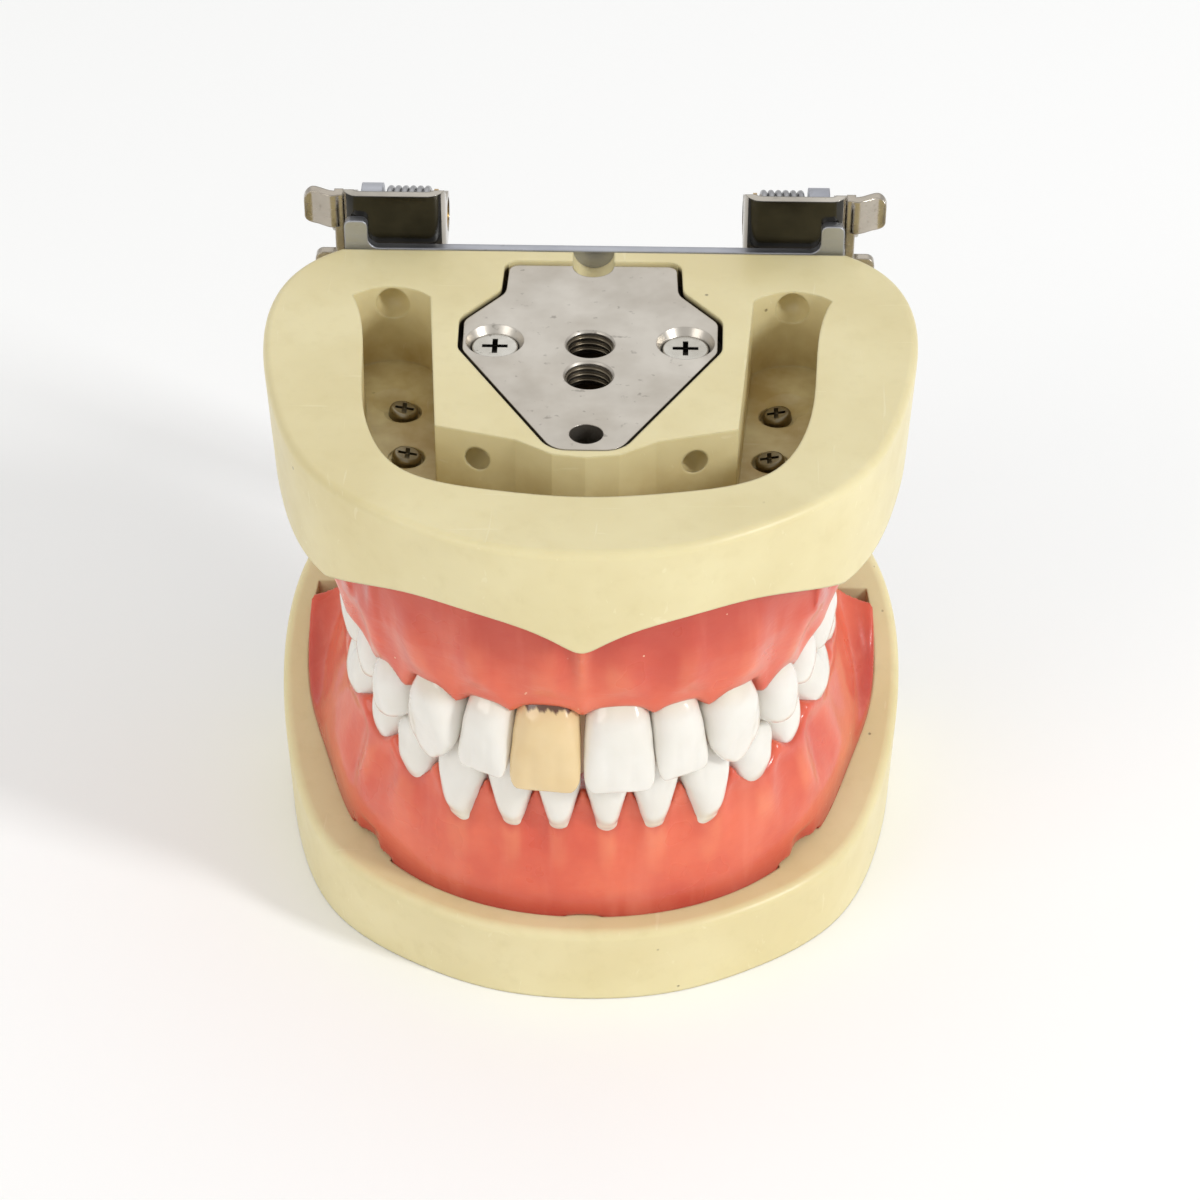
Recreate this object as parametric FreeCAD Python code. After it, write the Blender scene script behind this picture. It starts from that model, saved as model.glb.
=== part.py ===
"""Dental typodont: two hinged jaws with screw-retained teeth, soft gingiva and a mounting plate.

Millimetres. X is across the jaws, -X being the patient's right; -Y is the front, +Z is up.
The origin is the middle of the underside of the lower base, which the model stands on.
"""

import FreeCAD, Part
import math
import os

from FreeCAD import Matrix, Placement, Vector

# ---------------------------------------------------------------- driving dimensions
CLOSED_HEIGHT = 70.0
REAR_Y = 29.5
ARCH_CENTRE_Y = 19.0
ARCH_POWER = 2.5

# Upper base
UPPER_FRONT_Y = -32.4
UPPER_HALF_WIDTH = 38.4
UPPER_WALL_TAPER = 0.8
UPPER_CORNER = 7.6
UPPER_SLAB_BOTTOM = 61.0
UPPER_CORE_BOTTOM = 53.5
WALL_THICKNESS = 3.2
CORE_INSET = 6.6
CHANNEL_FLOOR_Z = 59.3

# Lower base
LOWER_FRONT_Y = -29.8
LOWER_HALF_WIDTH = 39.7
LOWER_TAPER = 1.2
LOWER_CORNER = 4.6
REAR_WALL_Y = 23.0
REAR_WALL_TOP = 17.6
REAR_NOTCH_HALF_WIDTH = 27.0
LOWER_SLAB_TOP = 6.0
LOWER_FLOOR_TOP = 9.0
RIM_FRONT_Z = 10.6
LOWER_CHANNEL_TOP_Z = 13.0
LOWER_CHANNEL = ((29.2, 41.2), (21.4, 36.8))
LOWER_FLOOR = (20.8, 36.2)
# How much narrower the space inside the rim is at its front corners, as a share of its half width
RIM_SQUEEZE = 0.035
# Swellings on the inside of the rim: x, y and radius
FRENUM_BUMPS = ((28.4, -15.0, 5.0), (0.0, -31.3, 6.0), (-28.4, -15.0, 5.0))

# Gingiva: half width and reach of the outline, and its height, from the base to the margin
UPPER_GUM = ((34.4, 46.9, 58.0), (34.0, 47.0, 50.5), (32.0, 46.1, 44.0))
UPPER_PALATE = ((18.4, 35.6, 51.6), (21.6, 37.6, 43.0))
LOWER_GUM = ((36.0, 45.2, 9.0), (35.4, 45.4, 16.0), (31.8, 45.0, 25.0))
LOWER_TONGUE = ((17.6, 33.4, 5.0), (20.6, 36.2, 26.0))
# Ridges that hold the roots: outer and inner outline, and the height of the ridge's top
UPPER_RIDGE = ((30.4, 44.4), (21.4, 37.6), 47.0)
LOWER_RIDGE = ((30.6, 42.8), (20.2, 35.6), 20.5)
LOWER_RIDGE_STEP = ((21.6, 37.2), 14.5)

# Teeth: name, width along the arch, depth across it, crown height, tilt of the crown towards
# the cheek, height of the tip, step out of the arch, and the kind of crown
UPPER_ARCH = (27.3, 47.8)
UPPER_TEETH = (
    ("central_incisor", 8.7, 6.7, 10.9, 24, 33.0, 0.0, "incisor"),
    ("lateral_incisor", 6.9, 6.2, 9.6, 22, 33.9, 0.0, "incisor"),
    ("canine", 7.9, 7.6, 10.4, 16, 32.8, 0.8, "canine"),
    ("first_premolar", 7.1, 8.6, 8.4, 11, 33.6, 0.3, "premolar"),
    ("second_premolar", 6.9, 8.6, 8.0, 10, 33.9, 0.0, "premolar"),
    ("first_molar", 10.3, 10.4, 7.6, 11, 34.1, 0.0, "molar"),
    ("second_molar", 9.6, 10.0, 7.2, 11, 34.3, 0.0, "molar"),
)
LOWER_ARCH = (26.0, 45.0)
LOWER_TEETH = (
    ("central_incisor", 5.6, 6.0, 9.2, 14, 35.0, 0.0, "incisor"),
    ("lateral_incisor", 6.1, 6.2, 9.4, 13, 35.0, 0.0, "incisor"),
    ("canine", 6.9, 7.2, 10.4, 9, 35.4, 0.4, "canine"),
    ("first_premolar", 7.1, 7.4, 8.6, 3, 34.8, 0.0, "premolar"),
    ("second_premolar", 7.2, 7.8, 8.2, 0, 34.6, 0.0, "premolar"),
    ("first_molar", 10.8, 9.8, 7.8, -5, 34.5, 0.0, "molar"),
    ("second_molar", 10.2, 9.4, 7.4, -6, 34.4, 0.0, "molar"),
)
CONTACT_GAP = 0.25
ROOT_LENGTH = 8.0
ROOT_WIDTH_SHARE = 0.36
ROOT_DEPTH_SHARE = 0.37
ROOT_TAPER = 0.72
CUSP_RISE = 1.5

# Tooth screws
SCREW_SHANK_RADIUS = 0.9
SCREW_HEAD_RADIUS = 1.75
SCREW_HEAD_HEIGHT = 1.2
SCREW_POCKET_RADIUS = 2.15
SCREW_BITE = 4.5

# Mounting plate
PLATE_TOP_Z = 69.7
PLATE_THICKNESS = 3.0
PLATE_RECESS_GAP = 0.6
PLATE_CORNERS = (
    (10.1, 26.2, 1.2),
    (10.3, 20.0, 3.0),
    (15.0, 13.8, 2.2),
    (14.9, 7.6, 2.4),
    (3.7, -12.4, 3.0),
)
PLATE_REAR_Y = 26.2
PLATE_SCREW = (11.2, 9.6)
THREAD_HOLE_Y = (9.1, 2.6)
THREAD_HOLE_RADIUS = 2.75
LOCATING_HOLE_Y = -9.3
LOCATING_HOLE_RADIUS = 1.95
LOCATING_HOLE_DEPTH = 7.0
REAR_GROOVE_RADIUS = 2.5

# Hinge
FRAME_SCREW_X = 14.0
UPPER_SCREW_Z = 63.5
LOWER_SCREW_Z = 9.0
RIVET_Z = 63.8
HINGE_Y = 37.0
HINGE_Z = 70.2
HINGE_PIN_RADIUS = 1.6
RUNNING_GAP = 0.06
HINGE_PLATE_THICKNESS = 1.2
FRAME_PLATE_THICKNESS = 2.5
HINGE_PLATE_HALF_WIDTH = 30.4
HINGE_PLATE_TOP = 69.8
HINGE_TAB = (27.6, 73.6)
BRACKET_X = (18.2, 30.6)
BRACKET_Z = (67.4, 76.4)
BRACKET_REAR_Y = 41.1
RIVET_X = (22.4, 25.6)
SHEET = 1.2
INNER_BEND = 2.2
OUTER_BEND = 1.9
ARM_X = (26.2, 28.8)
ARM_EYE_RADIUS = 3.8
LEVER_EYE_RADIUS = 2.9
LEVER_TOP = 75.6
LEVER_X = (30.7, 31.8)
FOOT_TAB = (64.2, 67.4, 34.4)
SPRING_WIRE_RADIUS = 0.4
SPRING_RADIUS = 3.1
SPRING_TURNS = 6
BUSH_RADIUS = 2.1
PIN_INNER_X = 18.4
PIN_HEAD_X = (31.9, 32.5)
PIN_HEAD_RADIUS = 2.2

SIDES = ((-1, "right"), (1, "left"))
UP = Vector(0, 0, 1)
OUT_FOLDER = "parts"


# ---------------------------------------------------------------- shape helpers
def vec(x, y, z=0.0):
    return Vector(x, y, z)


def spline(points, tangents=None):
    """A smooth curve through the points."""
    curve = Part.BSplineCurve()
    if tangents:
        curve.interpolate(Points=points, InitialTangent=tangents[0], FinalTangent=tangents[1])
    else:
        curve.interpolate(points)
    return curve.toShape()


def polygon(points):
    return Part.makePolygon(list(points) + [points[0]])


def prism(wire, height):
    """The solid that a flat closed wire sweeps along Z."""
    return Part.Face(wire).extrude(Vector(0, 0, height))


def mirrored_points(half):
    """The half outline from +X, then the same points on -X, back to the start."""
    return [vec(x, y) for x, y in half] + [vec(-x, y) for x, y in reversed(half) if x > 1e-6]


def rounded_polygon(corners, z):
    """A closed outline of x, y, radius corners, with an arc at each."""
    arcs, count = [], len(corners)
    for i, (x, y, radius) in enumerate(corners):
        corner = vec(x, y, z)
        before = (vec(*corners[i - 1][:2], z) - corner).normalize()
        after = (vec(*corners[(i + 1) % count][:2], z) - corner).normalize()
        half = before.getAngle(after) / 2
        reach = radius / math.tan(half)
        middle = corner + (before + after).normalize() * (radius / math.sin(half) - radius)
        arcs.append((corner + before * reach, middle, corner + after * reach))
    edges = []
    for (start, middle, end), (following, _, _) in zip(arcs, arcs[1:] + arcs[:1]):
        edges.append(Part.Arc(start, middle, end).toShape())
        edges.append(Part.makeLine(end, following))
    return Part.Wire(edges)


def cylinder(radius, start, end):
    axis = end - start
    return Part.makeCylinder(radius, axis.Length, start, axis)


def cone(radius_1, radius_2, start, end):
    axis = end - start
    return Part.makeCone(radius_1, radius_2, axis.Length, start, axis)


def box(low, high):
    size = high - low
    return Part.makeBox(size.x, size.y, size.z, low)


def fuse(shapes):
    result = shapes[0]
    if len(shapes) > 1:
        result = shapes[0].multiFuse(shapes[1:])
    return result.removeSplitter()


def mirror_x(shape):
    return shape.mirror(Vector(0, 0, 0), Vector(1, 0, 0))


def on_side(shape, side):
    """A shape built at +X, or its mirror image at -X."""
    return shape if side > 0 else mirror_x(shape)


def rounded(shape, radius, chosen):
    """The shape with the chosen edges rounded, or as it was where the kernel can't round them."""
    edges = [e for e in shape.Edges if chosen(e)]
    if not edges:
        return shape
    try:
        result = shape.makeFillet(radius, edges)
    except Part.OCCError:
        print("not rounded:", radius, len(edges))
        return shape
    return result if result.isValid() and result.Volume > 0 else shape


def at_height(z, tolerance=1e-4):
    """Picks the edges that lie in the plane at z."""
    return lambda e: abs(e.BoundBox.ZMin - z) < tolerance and abs(e.BoundBox.ZMax - z) < tolerance


def ring_at(point):
    """Picks the round edge whose middle is at the point."""
    return lambda e: (e.CenterOfMass - point).Length < 0.05


def along_y(xs, z):
    """Picks the edges that run along Y at one of the xs, on either side, and at z."""

    def chosen(e):
        b = e.BoundBox
        if b.XLength > 0.01 or b.ZLength > 0.01 or abs(b.ZMin - z) > 0.01:
            return False
        return any(abs(abs(b.XMin) - x) < 0.01 for x in xs)

    return chosen


def cut_all(shape, cuts):
    return shape.cut(cuts[0].multiFuse(cuts[1:]))


def export(name, shape):
    solids = shape.Solids
    whole = solids[0] if len(solids) == 1 else Part.makeCompound(solids)
    whole.exportStep(os.path.join(OUT_FOLDER, name + ".step"))
    print(f"{name}: {len(solids)} solids, {whole.Volume:.0f} mm3, valid {whole.isValid()}")


# ---------------------------------------------------------------- plan shapes
def d_outline(front_y, half_width, inset=0.0, z=0.0, corner=6.5, squeeze=0.0):
    """The D-shaped plan of a base: a straight back, round corners and a full, round front."""
    w = half_width - inset
    f = front_y + inset
    depth = REAR_Y - f
    corner = corner - 0.5 * inset
    half = (
        (w - corner, REAR_Y),
        (w - 0.3 * corner, REAR_Y - 0.09 * depth),
        (w, REAR_Y - 0.34 * depth),
        ((0.955 - squeeze) * w, f + 0.49 * depth),
        ((0.79 - squeeze) * w, f + 0.235 * depth),
        (0.535 * w, f + 0.098 * depth),
        (0.29 * w, f + 0.025 * depth),
        (0.0, f),
    )
    points = [Vector(p.x, p.y, z) for p in mirrored_points(half)]
    back = Part.makeLine(points[-1], points[0])
    return Part.Wire([spline(points), back])


def tapered(front_y, half_width, z_wide, z_narrow, taper, corner):
    """The solid between a D outline at z_wide and one a little smaller at z_narrow."""
    wide = d_outline(front_y, half_width, z=z_wide, corner=corner)
    narrow = d_outline(front_y + taper, half_width - taper, z=z_narrow, corner=corner)
    return Part.makeLoft([wide, narrow], True, True)


def before_y(shape, y):
    """The part of a shape in front of the plane at y."""
    return shape.common(box(Vector(-60, -60, -60), Vector(60, y, 120)))


def arch_curve(arch, z=0.0, count=17):
    """Points along a dental arch of a half width and reach, from +X round the front to -X."""
    a, b = arch[0], arch[1]
    points = []
    for i in range(count):
        angle = math.pi * i / (count - 1)
        c, s = math.cos(angle), math.sin(angle)
        x = a * math.copysign(abs(c) ** (2 / ARCH_POWER), c)
        y = ARCH_CENTRE_Y - b * math.copysign(abs(s) ** (2 / ARCH_POWER), s)
        points.append(vec(x, y, z))
    return points


def arch_wire(outer, inner, rear_y, z):
    """The outline of a horseshoe band between two arches, closed by straight ends at rear_y."""
    out, inn = arch_curve(outer, z), arch_curve(inner, z)
    ends = [Vector(out[0].x, rear_y, z), Vector(inn[0].x, rear_y, z)]
    far = [Vector(-p.x, p.y, p.z) for p in ends]
    forward, back = Vector(0, -1, 0), Vector(0, 1, 0)
    return Part.Wire(
        [
            Part.makeLine(ends[0], out[0]),
            spline(out, (forward, back)),
            Part.makeLine(out[-1], far[0]),
            Part.makeLine(far[0], far[1]),
            Part.makeLine(far[1], inn[-1]),
            spline(list(reversed(inn)), (forward, back)),
            Part.makeLine(inn[0], ends[1]),
            Part.makeLine(ends[1], ends[0]),
        ]
    )


def arch_disc(arch, rear_y, z):
    """The outline of everything inside an arch, closed by a straight line at rear_y."""
    out = arch_curve(arch, z)
    end = Vector(out[0].x, rear_y, z)
    far = Vector(-end.x, end.y, end.z)
    curve = spline(out, (Vector(0, -1, 0), Vector(0, 1, 0)))
    lines = [Part.makeLine(end, out[0]), curve, Part.makeLine(out[-1], far), Part.makeLine(far, end)]
    return Part.Wire(lines)


def arch_stack(levels, rear_y):
    """The solid that a stack of arch outlines passes through, bottom to top or top to bottom."""
    return Part.makeLoft([arch_disc(level, rear_y, level[2]) for level in levels], True, False)


# ---------------------------------------------------------------- teeth
def arch_sites(arch, teeth):
    """Where each tooth of one side stands: its point on the arch and its outward direction."""
    fine = arch_curve(arch, count=1201)
    half = list(reversed(fine[: len(fine) // 2 + 1]))
    sites, walked, index, reach = [], 0.0, 0, 0.0
    for tooth in teeth:
        middle = reach + tooth[1] / 2
        while index + 2 < len(half) and walked < middle:
            walked += (half[index + 1] - half[index]).Length
            index += 1
        along = (half[index + 1] - half[index - 1]).normalize()
        sites.append((half[index], Vector(along.y, -along.x, 0)))
        reach += tooth[1]
    return sites


SECTIONS = {
    # share of the crown's height: half width / width, facial / depth, lingual / depth
    "incisor": (
        (0.00, 0.380, 0.40, 0.42),
        (0.15, 0.420, 0.45, 0.45),
        (0.40, 0.465, 0.41, 0.28),
        (0.70, 0.490, 0.26, 0.12),
        (0.93, 0.485, 0.13, 0.07),
        (1.00, 0.440, 0.06, 0.02),
    ),
    "canine": (
        (0.00, 0.380, 0.40, 0.42),
        (0.15, 0.430, 0.45, 0.45),
        (0.40, 0.480, 0.41, 0.32),
        (0.65, 0.490, 0.27, 0.17),
        (0.88, 0.300, 0.13, 0.09),
        (1.00, 0.100, 0.04, 0.03),
    ),
    "premolar": (
        (0.00, 0.390, 0.40, 0.40),
        (0.25, 0.450, 0.48, 0.46),
        (0.55, 0.490, 0.47, 0.48),
        (0.85, 0.480, 0.38, 0.42),
        (1.10, 0.440, 0.31, 0.36),
    ),
    "molar": (
        (0.00, 0.420, 0.41, 0.41),
        (0.25, 0.460, 0.49, 0.46),
        (0.55, 0.493, 0.47, 0.48),
        (0.85, 0.485, 0.39, 0.43),
        (1.10, 0.460, 0.34, 0.38),
    ),
}
CUSPS = {
    # along the arch / width, towards the cheek / depth, height below the tip
    "premolar": ((0.0, 0.23, 0.0), (0.0, -0.25, 0.6)),
    "molar": ((-0.22, 0.24, 0.0), (0.22, 0.24, 0.1), (-0.22, -0.25, 0.3), (0.22, -0.25, 0.4)),
}
SECTION_POINTS = 20
SECTION_POWER = 0.84


def crown_section(width, facial, lingual, z):
    """A rounded, slightly square closed curve."""
    points = []
    for i in range(SECTION_POINTS):
        angle = 2 * math.pi * (i + 0.5) / SECTION_POINTS
        c, s = math.cos(angle), math.sin(angle)
        x = width * math.copysign(abs(c) ** SECTION_POWER, c)
        y = (facial if s > 0 else lingual) * math.copysign(abs(s) ** SECTION_POWER, s)
        points.append(vec(x, y, z))
    curve = Part.BSplineCurve()
    curve.interpolate(Points=points, PeriodicFlag=True)
    return Part.Wire(curve.toShape())


def cusp_height(x, y, cusps, width, depth, height):
    """How high the chewing surface stands at x, y: rounded cones that meet in grooves."""
    slope = 4.4 * CUSP_RISE / depth
    best = []
    for along, across, drop in cusps:
        away = math.hypot((x - along * width) * 0.95, (y - across * depth) * 0.95)
        best.append(height - drop - slope * (math.hypot(away, 0.9) - 0.9))
    sharp = 2.6
    return math.log(sum(math.exp(sharp * b) for b in best)) / sharp - 0.25


def cusp_roof(kind, width, depth, height):
    """The solid below a chewing surface with its cusps, wide enough to trim the crown."""
    cells = 10
    reach_x, reach_y = 0.62 * width, 0.62 * depth
    rows = []
    for i in range(cells + 1):
        x = -reach_x + 2 * reach_x * i / cells
        row = []
        for j in range(cells + 1):
            y = -reach_y + 2 * reach_y * j / cells
            row.append(vec(x, y, cusp_height(x, y, CUSPS[kind], width, depth, height)))
        rows.append(row)
    surface = Part.BSplineSurface()
    surface.interpolate(rows)
    return surface.toShape().extrude(Vector(0, 0, -2.5 * height))


def root_peg(width, depth, grow=0.0, length=ROOT_LENGTH, start=0.0):
    """The tapered oval root below the neck; grow and start make the socket's cutter."""
    rings = []
    for share, z in ((1.0, start), (ROOT_TAPER, -length)):
        half_width = ROOT_WIDTH_SHARE * width * share + grow
        half_depth = ROOT_DEPTH_SHARE * depth * share + grow
        major, minor = max(half_width, half_depth), min(half_width, half_depth)
        ellipse = Part.Ellipse(Vector(0, 0, 0), major, minor + (1e-4 if major == minor else 0)).toShape()
        if half_depth > half_width:
            ellipse.rotate(Vector(0, 0, 0), UP, 90)
        ellipse.translate(Vector(0, 0, z))
        rings.append(Part.Wire(ellipse))
    return Part.makeLoft(rings, True, True)


def tooth_shape(kind, width, depth, height):
    """A crown on its root, with no screw hole. The neck is at z = 0."""
    width = width - CONTACT_GAP
    wires = [
        crown_section(w * width, f * depth, l * depth, share * height)
        for share, w, f, l in SECTIONS[kind]
    ]
    crown = Part.makeLoft(wires, True, False)
    if kind in CUSPS:
        crown = crown.common(cusp_roof(kind, width, depth, height))
    return crown.fuse(root_peg(width, depth))


def screw_hole():
    """The hole up the middle of a root that a tooth screw bites into."""
    low, high = -ROOT_LENGTH - 1, -ROOT_LENGTH + SCREW_BITE
    return cylinder(SCREW_SHANK_RADIUS, Vector(0, 0, low), Vector(0, 0, high))


def tooth_places(arch, teeth, vertical):
    """For each tooth of the +X side: its record, its placement, and the axis towards the crown."""
    places = []
    for tooth, (point, outward) in zip(teeth, arch_sites(arch, teeth)):
        tilt = math.radians(tooth[4])
        axis = vertical * math.cos(tilt) + outward * math.sin(tilt)
        facial = outward * math.cos(tilt) - vertical * math.sin(tilt)
        along = facial.cross(axis)
        tip = Vector(point.x, point.y, tooth[5]) + outward * tooth[6]
        neck = tip - axis * tooth[3]
        matrix = Matrix(
            along.x, facial.x, axis.x, neck.x,
            along.y, facial.y, axis.y, neck.y,
            along.z, facial.z, axis.z, neck.z,
            0, 0, 0, 1,
        )
        places.append((tooth, Placement(matrix), neck, axis))
    return places


def make_teeth(jaw, places):
    """Exports a jaw's teeth, and returns them without their screw holes."""
    whole = []
    for tooth, placement, _, _ in places:
        name, width, depth, height = tooth[:4]
        solid = tooth_shape(tooth[7], width, depth, height)
        bored = solid.cut(screw_hole())
        solid.Placement = placement
        bored.Placement = placement
        for side, word in SIDES:
            export(f"{jaw}_{word}_{name}", on_side(bored, side))
            whole.append(on_side(solid, side))
    return whole


def sockets(places, grow=0.0, start=0.0):
    """Cutters for every root of a jaw."""
    cutters = []
    for tooth, placement, _, _ in places:
        cutter = root_peg(tooth[1] - CONTACT_GAP, tooth[2], grow, start=start)
        cutter.Placement = placement
        cutters += [cutter, mirror_x(cutter)]
    return cutters


def screw_line(neck, axis, floor_z):
    """Where a tooth screw's head seats, on the tooth's axis at the channel's floor."""
    away = (floor_z - neck.z) / axis.z
    return neck + axis * away


def cross_recess(centre, axis, reach, width, depth):
    """The cutter of a cross-shaped driver recess in a screw head whose top is at centre."""
    bars = [
        Part.makeBox(2 * reach, width, depth + 0.5, Vector(-reach, -width / 2, -depth)),
        Part.makeBox(width, 2 * reach, depth + 0.5, Vector(-width / 2, -reach, -depth)),
    ]
    cutter = bars[0].fuse(bars[1])
    turn = FreeCAD.Rotation(UP, axis)
    cutter.Placement = Placement(centre, turn)
    return cutter


def tooth_screws(places, floor_z):
    """The screws of a jaw: a round head with a cross recess, and a shank into the root."""
    screws, pockets = [], []
    for tooth, _, neck, axis in places:
        outward = axis * -1
        seat = screw_line(neck, axis, floor_z)
        seat = seat - outward * (SCREW_HEAD_RADIUS * math.tan(abs(math.radians(tooth[4]))) + 0.2)
        top = seat + outward * SCREW_HEAD_HEIGHT
        tip = neck + outward * (ROOT_LENGTH - SCREW_BITE + 0.3)
        head = rounded(cylinder(SCREW_HEAD_RADIUS, seat, top), 0.45, ring_at(top))
        screw = head.fuse(cylinder(SCREW_SHANK_RADIUS, tip, seat + outward * 0.2))
        screw = screw.cut(cross_recess(top, outward, 1.1, 0.5, 0.8))
        pocket = cylinder(SCREW_POCKET_RADIUS, seat, seat + outward * 6)
        pocket = pocket.fuse(cylinder(SCREW_SHANK_RADIUS, tip, seat + outward * 0.2))
        screws += [screw, mirror_x(screw)]
        pockets += [pocket, mirror_x(pocket)]
    return screws, pockets


# ---------------------------------------------------------------- upper jaw
UPPER_CHANNEL_OUTER = (
    (28.6, 18.6),
    (26.3, 3.0),
    (24.4, -10.0),
    (20.8, -16.6),
    (10.3, -20.7),
    (0.0, -21.8),
)
UPPER_CHANNEL_INNER = ((19.3, 18.4), (17.2, -8.4), (8.0, -11.0), (3.8, -13.7), (0.0, -14.3))
CHANNEL_END_Y = 20.6


def channel_wire(outer, inner, end_y, z):
    """The plan of a U-shaped screw channel with rounded ends."""
    out = [Vector(p.x, p.y, z) for p in mirrored_points(outer)]
    inn = [Vector(p.x, p.y, z) for p in mirrored_points(inner)]
    ends = []
    for a, b in ((inn[0], out[0]), (out[-1], inn[-1])):
        middle = (a + b) / 2
        ends.append(Part.Arc(a, Vector(middle.x, end_y, z), b).toShape())
    inner_edges = [Part.makeLine(inn[i + 1], inn[i]) for i in reversed(range(len(inn) - 1))]
    return Part.Wire([ends[0], spline(out), ends[1]] + inner_edges)


def upper_lower_edge():
    """The wavy lower edge of the upper base's wall: a dip at the lip's frenum and one at each cheek."""
    half = ((2.2, 56.9), (6.5, 59.0), (12.0, 60.1), (19.0, 60.0), (25.0, 58.0), (29.4, 55.6))
    left = [Vector(-x, 0, z) for x, z in reversed(half)]
    points = left + [Vector(0, 0, 55.9)] + [Vector(x, 0, z) for x, z in half]
    edge = spline(points)
    low, reach, side_z = 30.0, 60.0, 54.8
    right = [points[-1], Vector(reach, 0, side_z), Vector(reach, 0, low)]
    left = [Vector(-reach, 0, low), Vector(-reach, 0, side_z), points[0]]
    lines = [Part.makeLine(a, b) for a, b in zip(right, right[1:])]
    lines.append(Part.makeLine(right[-1], left[0]))
    lines += [Part.makeLine(a, b) for a, b in zip(left, left[1:])]
    face = Part.Face(Part.Wire([edge] + lines))
    return face.extrude(Vector(0, 100, 0)).translated(Vector(0, -60, 0))


def plate_blank(grow, z_low, z_high):
    """The mounting plate's solid, grown by an amount to cut its recess."""
    left = tuple((-x, y, radius) for x, y, radius in reversed(PLATE_CORNERS))
    outline = rounded_polygon(PLATE_CORNERS + left, z_low)
    if grow:
        outline = outline.makeOffset2D(grow, 0)
    return prism(outline, z_high - z_low)


def mounting_plate():
    plate = plate_blank(0.0, PLATE_TOP_Z - PLATE_THICKNESS, PLATE_TOP_Z)
    top, low = PLATE_TOP_Z, PLATE_TOP_Z - PLATE_THICKNESS
    cuts = [cylinder(REAR_GROOVE_RADIUS, vec(0, PLATE_REAR_Y, low - 1), vec(0, PLATE_REAR_Y, top + 1))]
    for y in THREAD_HOLE_Y:
        r = THREAD_HOLE_RADIUS
        cuts.append(cylinder(r, vec(0, y, low - 1), vec(0, y, top + 1)))
        cuts.append(cone(r, r + 0.3, vec(0, y, top - 0.25), vec(0, y, top + 0.05)))
    y = LOCATING_HOLE_Y
    cuts.append(cylinder(LOCATING_HOLE_RADIUS, vec(0, y, low - 1), vec(0, y, top + 1)))
    for side, _ in SIDES:
        x, y = side * PLATE_SCREW[0], PLATE_SCREW[1]
        cuts.append(cylinder(2.2, vec(x, y, low - 1), vec(x, y, top)))
        cuts.append(cone(2.2, 3.45, vec(x, y, low + 0.9), vec(x, y, top + 0.02)))
    return cut_all(plate, cuts)


def mounting_plate_screws():
    """Countersunk screws that hold the plate; their heads stand 0.5 mm below its face."""
    screws = []
    for side, _ in SIDES:
        x, y = side * PLATE_SCREW[0], PLATE_SCREW[1]
        top = PLATE_TOP_Z - 0.75
        head = cylinder(2.72, vec(x, y, top - 0.35), vec(x, y, top))
        head = rounded(head, 0.25, at_height(top))
        taper = cone(1.9, 2.72, vec(x, y, top - 1.2), vec(x, y, top - 0.35))
        shank = cylinder(1.6, vec(x, y, top - 8.0), vec(x, y, top - 1.2))
        screw = fuse([head, taper, shank])
        screws.append(screw.cut(cross_recess(vec(x, y, top), UP, 1.5, 0.62, 1.0)))
    return screws


def channel_dimples():
    """Shallow round marks on the walls of the upper screw channel."""
    marks = []
    for side, _ in SIDES:
        end = vec(side * 24.0, CHANNEL_END_Y + 0.2, CLOSED_HEIGHT - 2.4)
        marks.append(Part.makeSphere(2.1, end))
        marks.append(Part.makeSphere(1.9, vec(side * 12.0, -8.6, CLOSED_HEIGHT - 3.6)))
        marks.append(Part.makeSphere(6.0, vec(side * 23.6, 12.0, CHANNEL_FLOOR_Z + 5.4)))
    return marks


def upper_shell():
    """The upper base's block, hollow below, with its wavy lower edge."""
    top, taper = CLOSED_HEIGHT, UPPER_WALL_TAPER
    outer = tapered(UPPER_FRONT_Y, UPPER_HALF_WIDTH, top, 52.0, taper, UPPER_CORNER)
    outer = rounded(outer, 0.9, at_height(top))
    inside = d_outline(UPPER_FRONT_Y + taper, UPPER_HALF_WIDTH - taper, WALL_THICKNESS, z=50)
    return outer.cut(upper_lower_edge()).cut(prism(inside, UPPER_SLAB_BOTTOM - 50))


def upper_core():
    """The raised middle of the upper base's underside and the ridge that holds the roots."""
    outline = d_outline(UPPER_FRONT_Y, UPPER_HALF_WIDTH, CORE_INSET, z=UPPER_CORE_BOTTOM)
    core = prism(outline, UPPER_SLAB_BOTTOM - UPPER_CORE_BOTTOM + 0.5)
    outer, inner, low = UPPER_RIDGE
    return core.fuse(prism(arch_wire(outer, inner, 23.0, low), UPPER_SLAB_BOTTOM - low))


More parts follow.
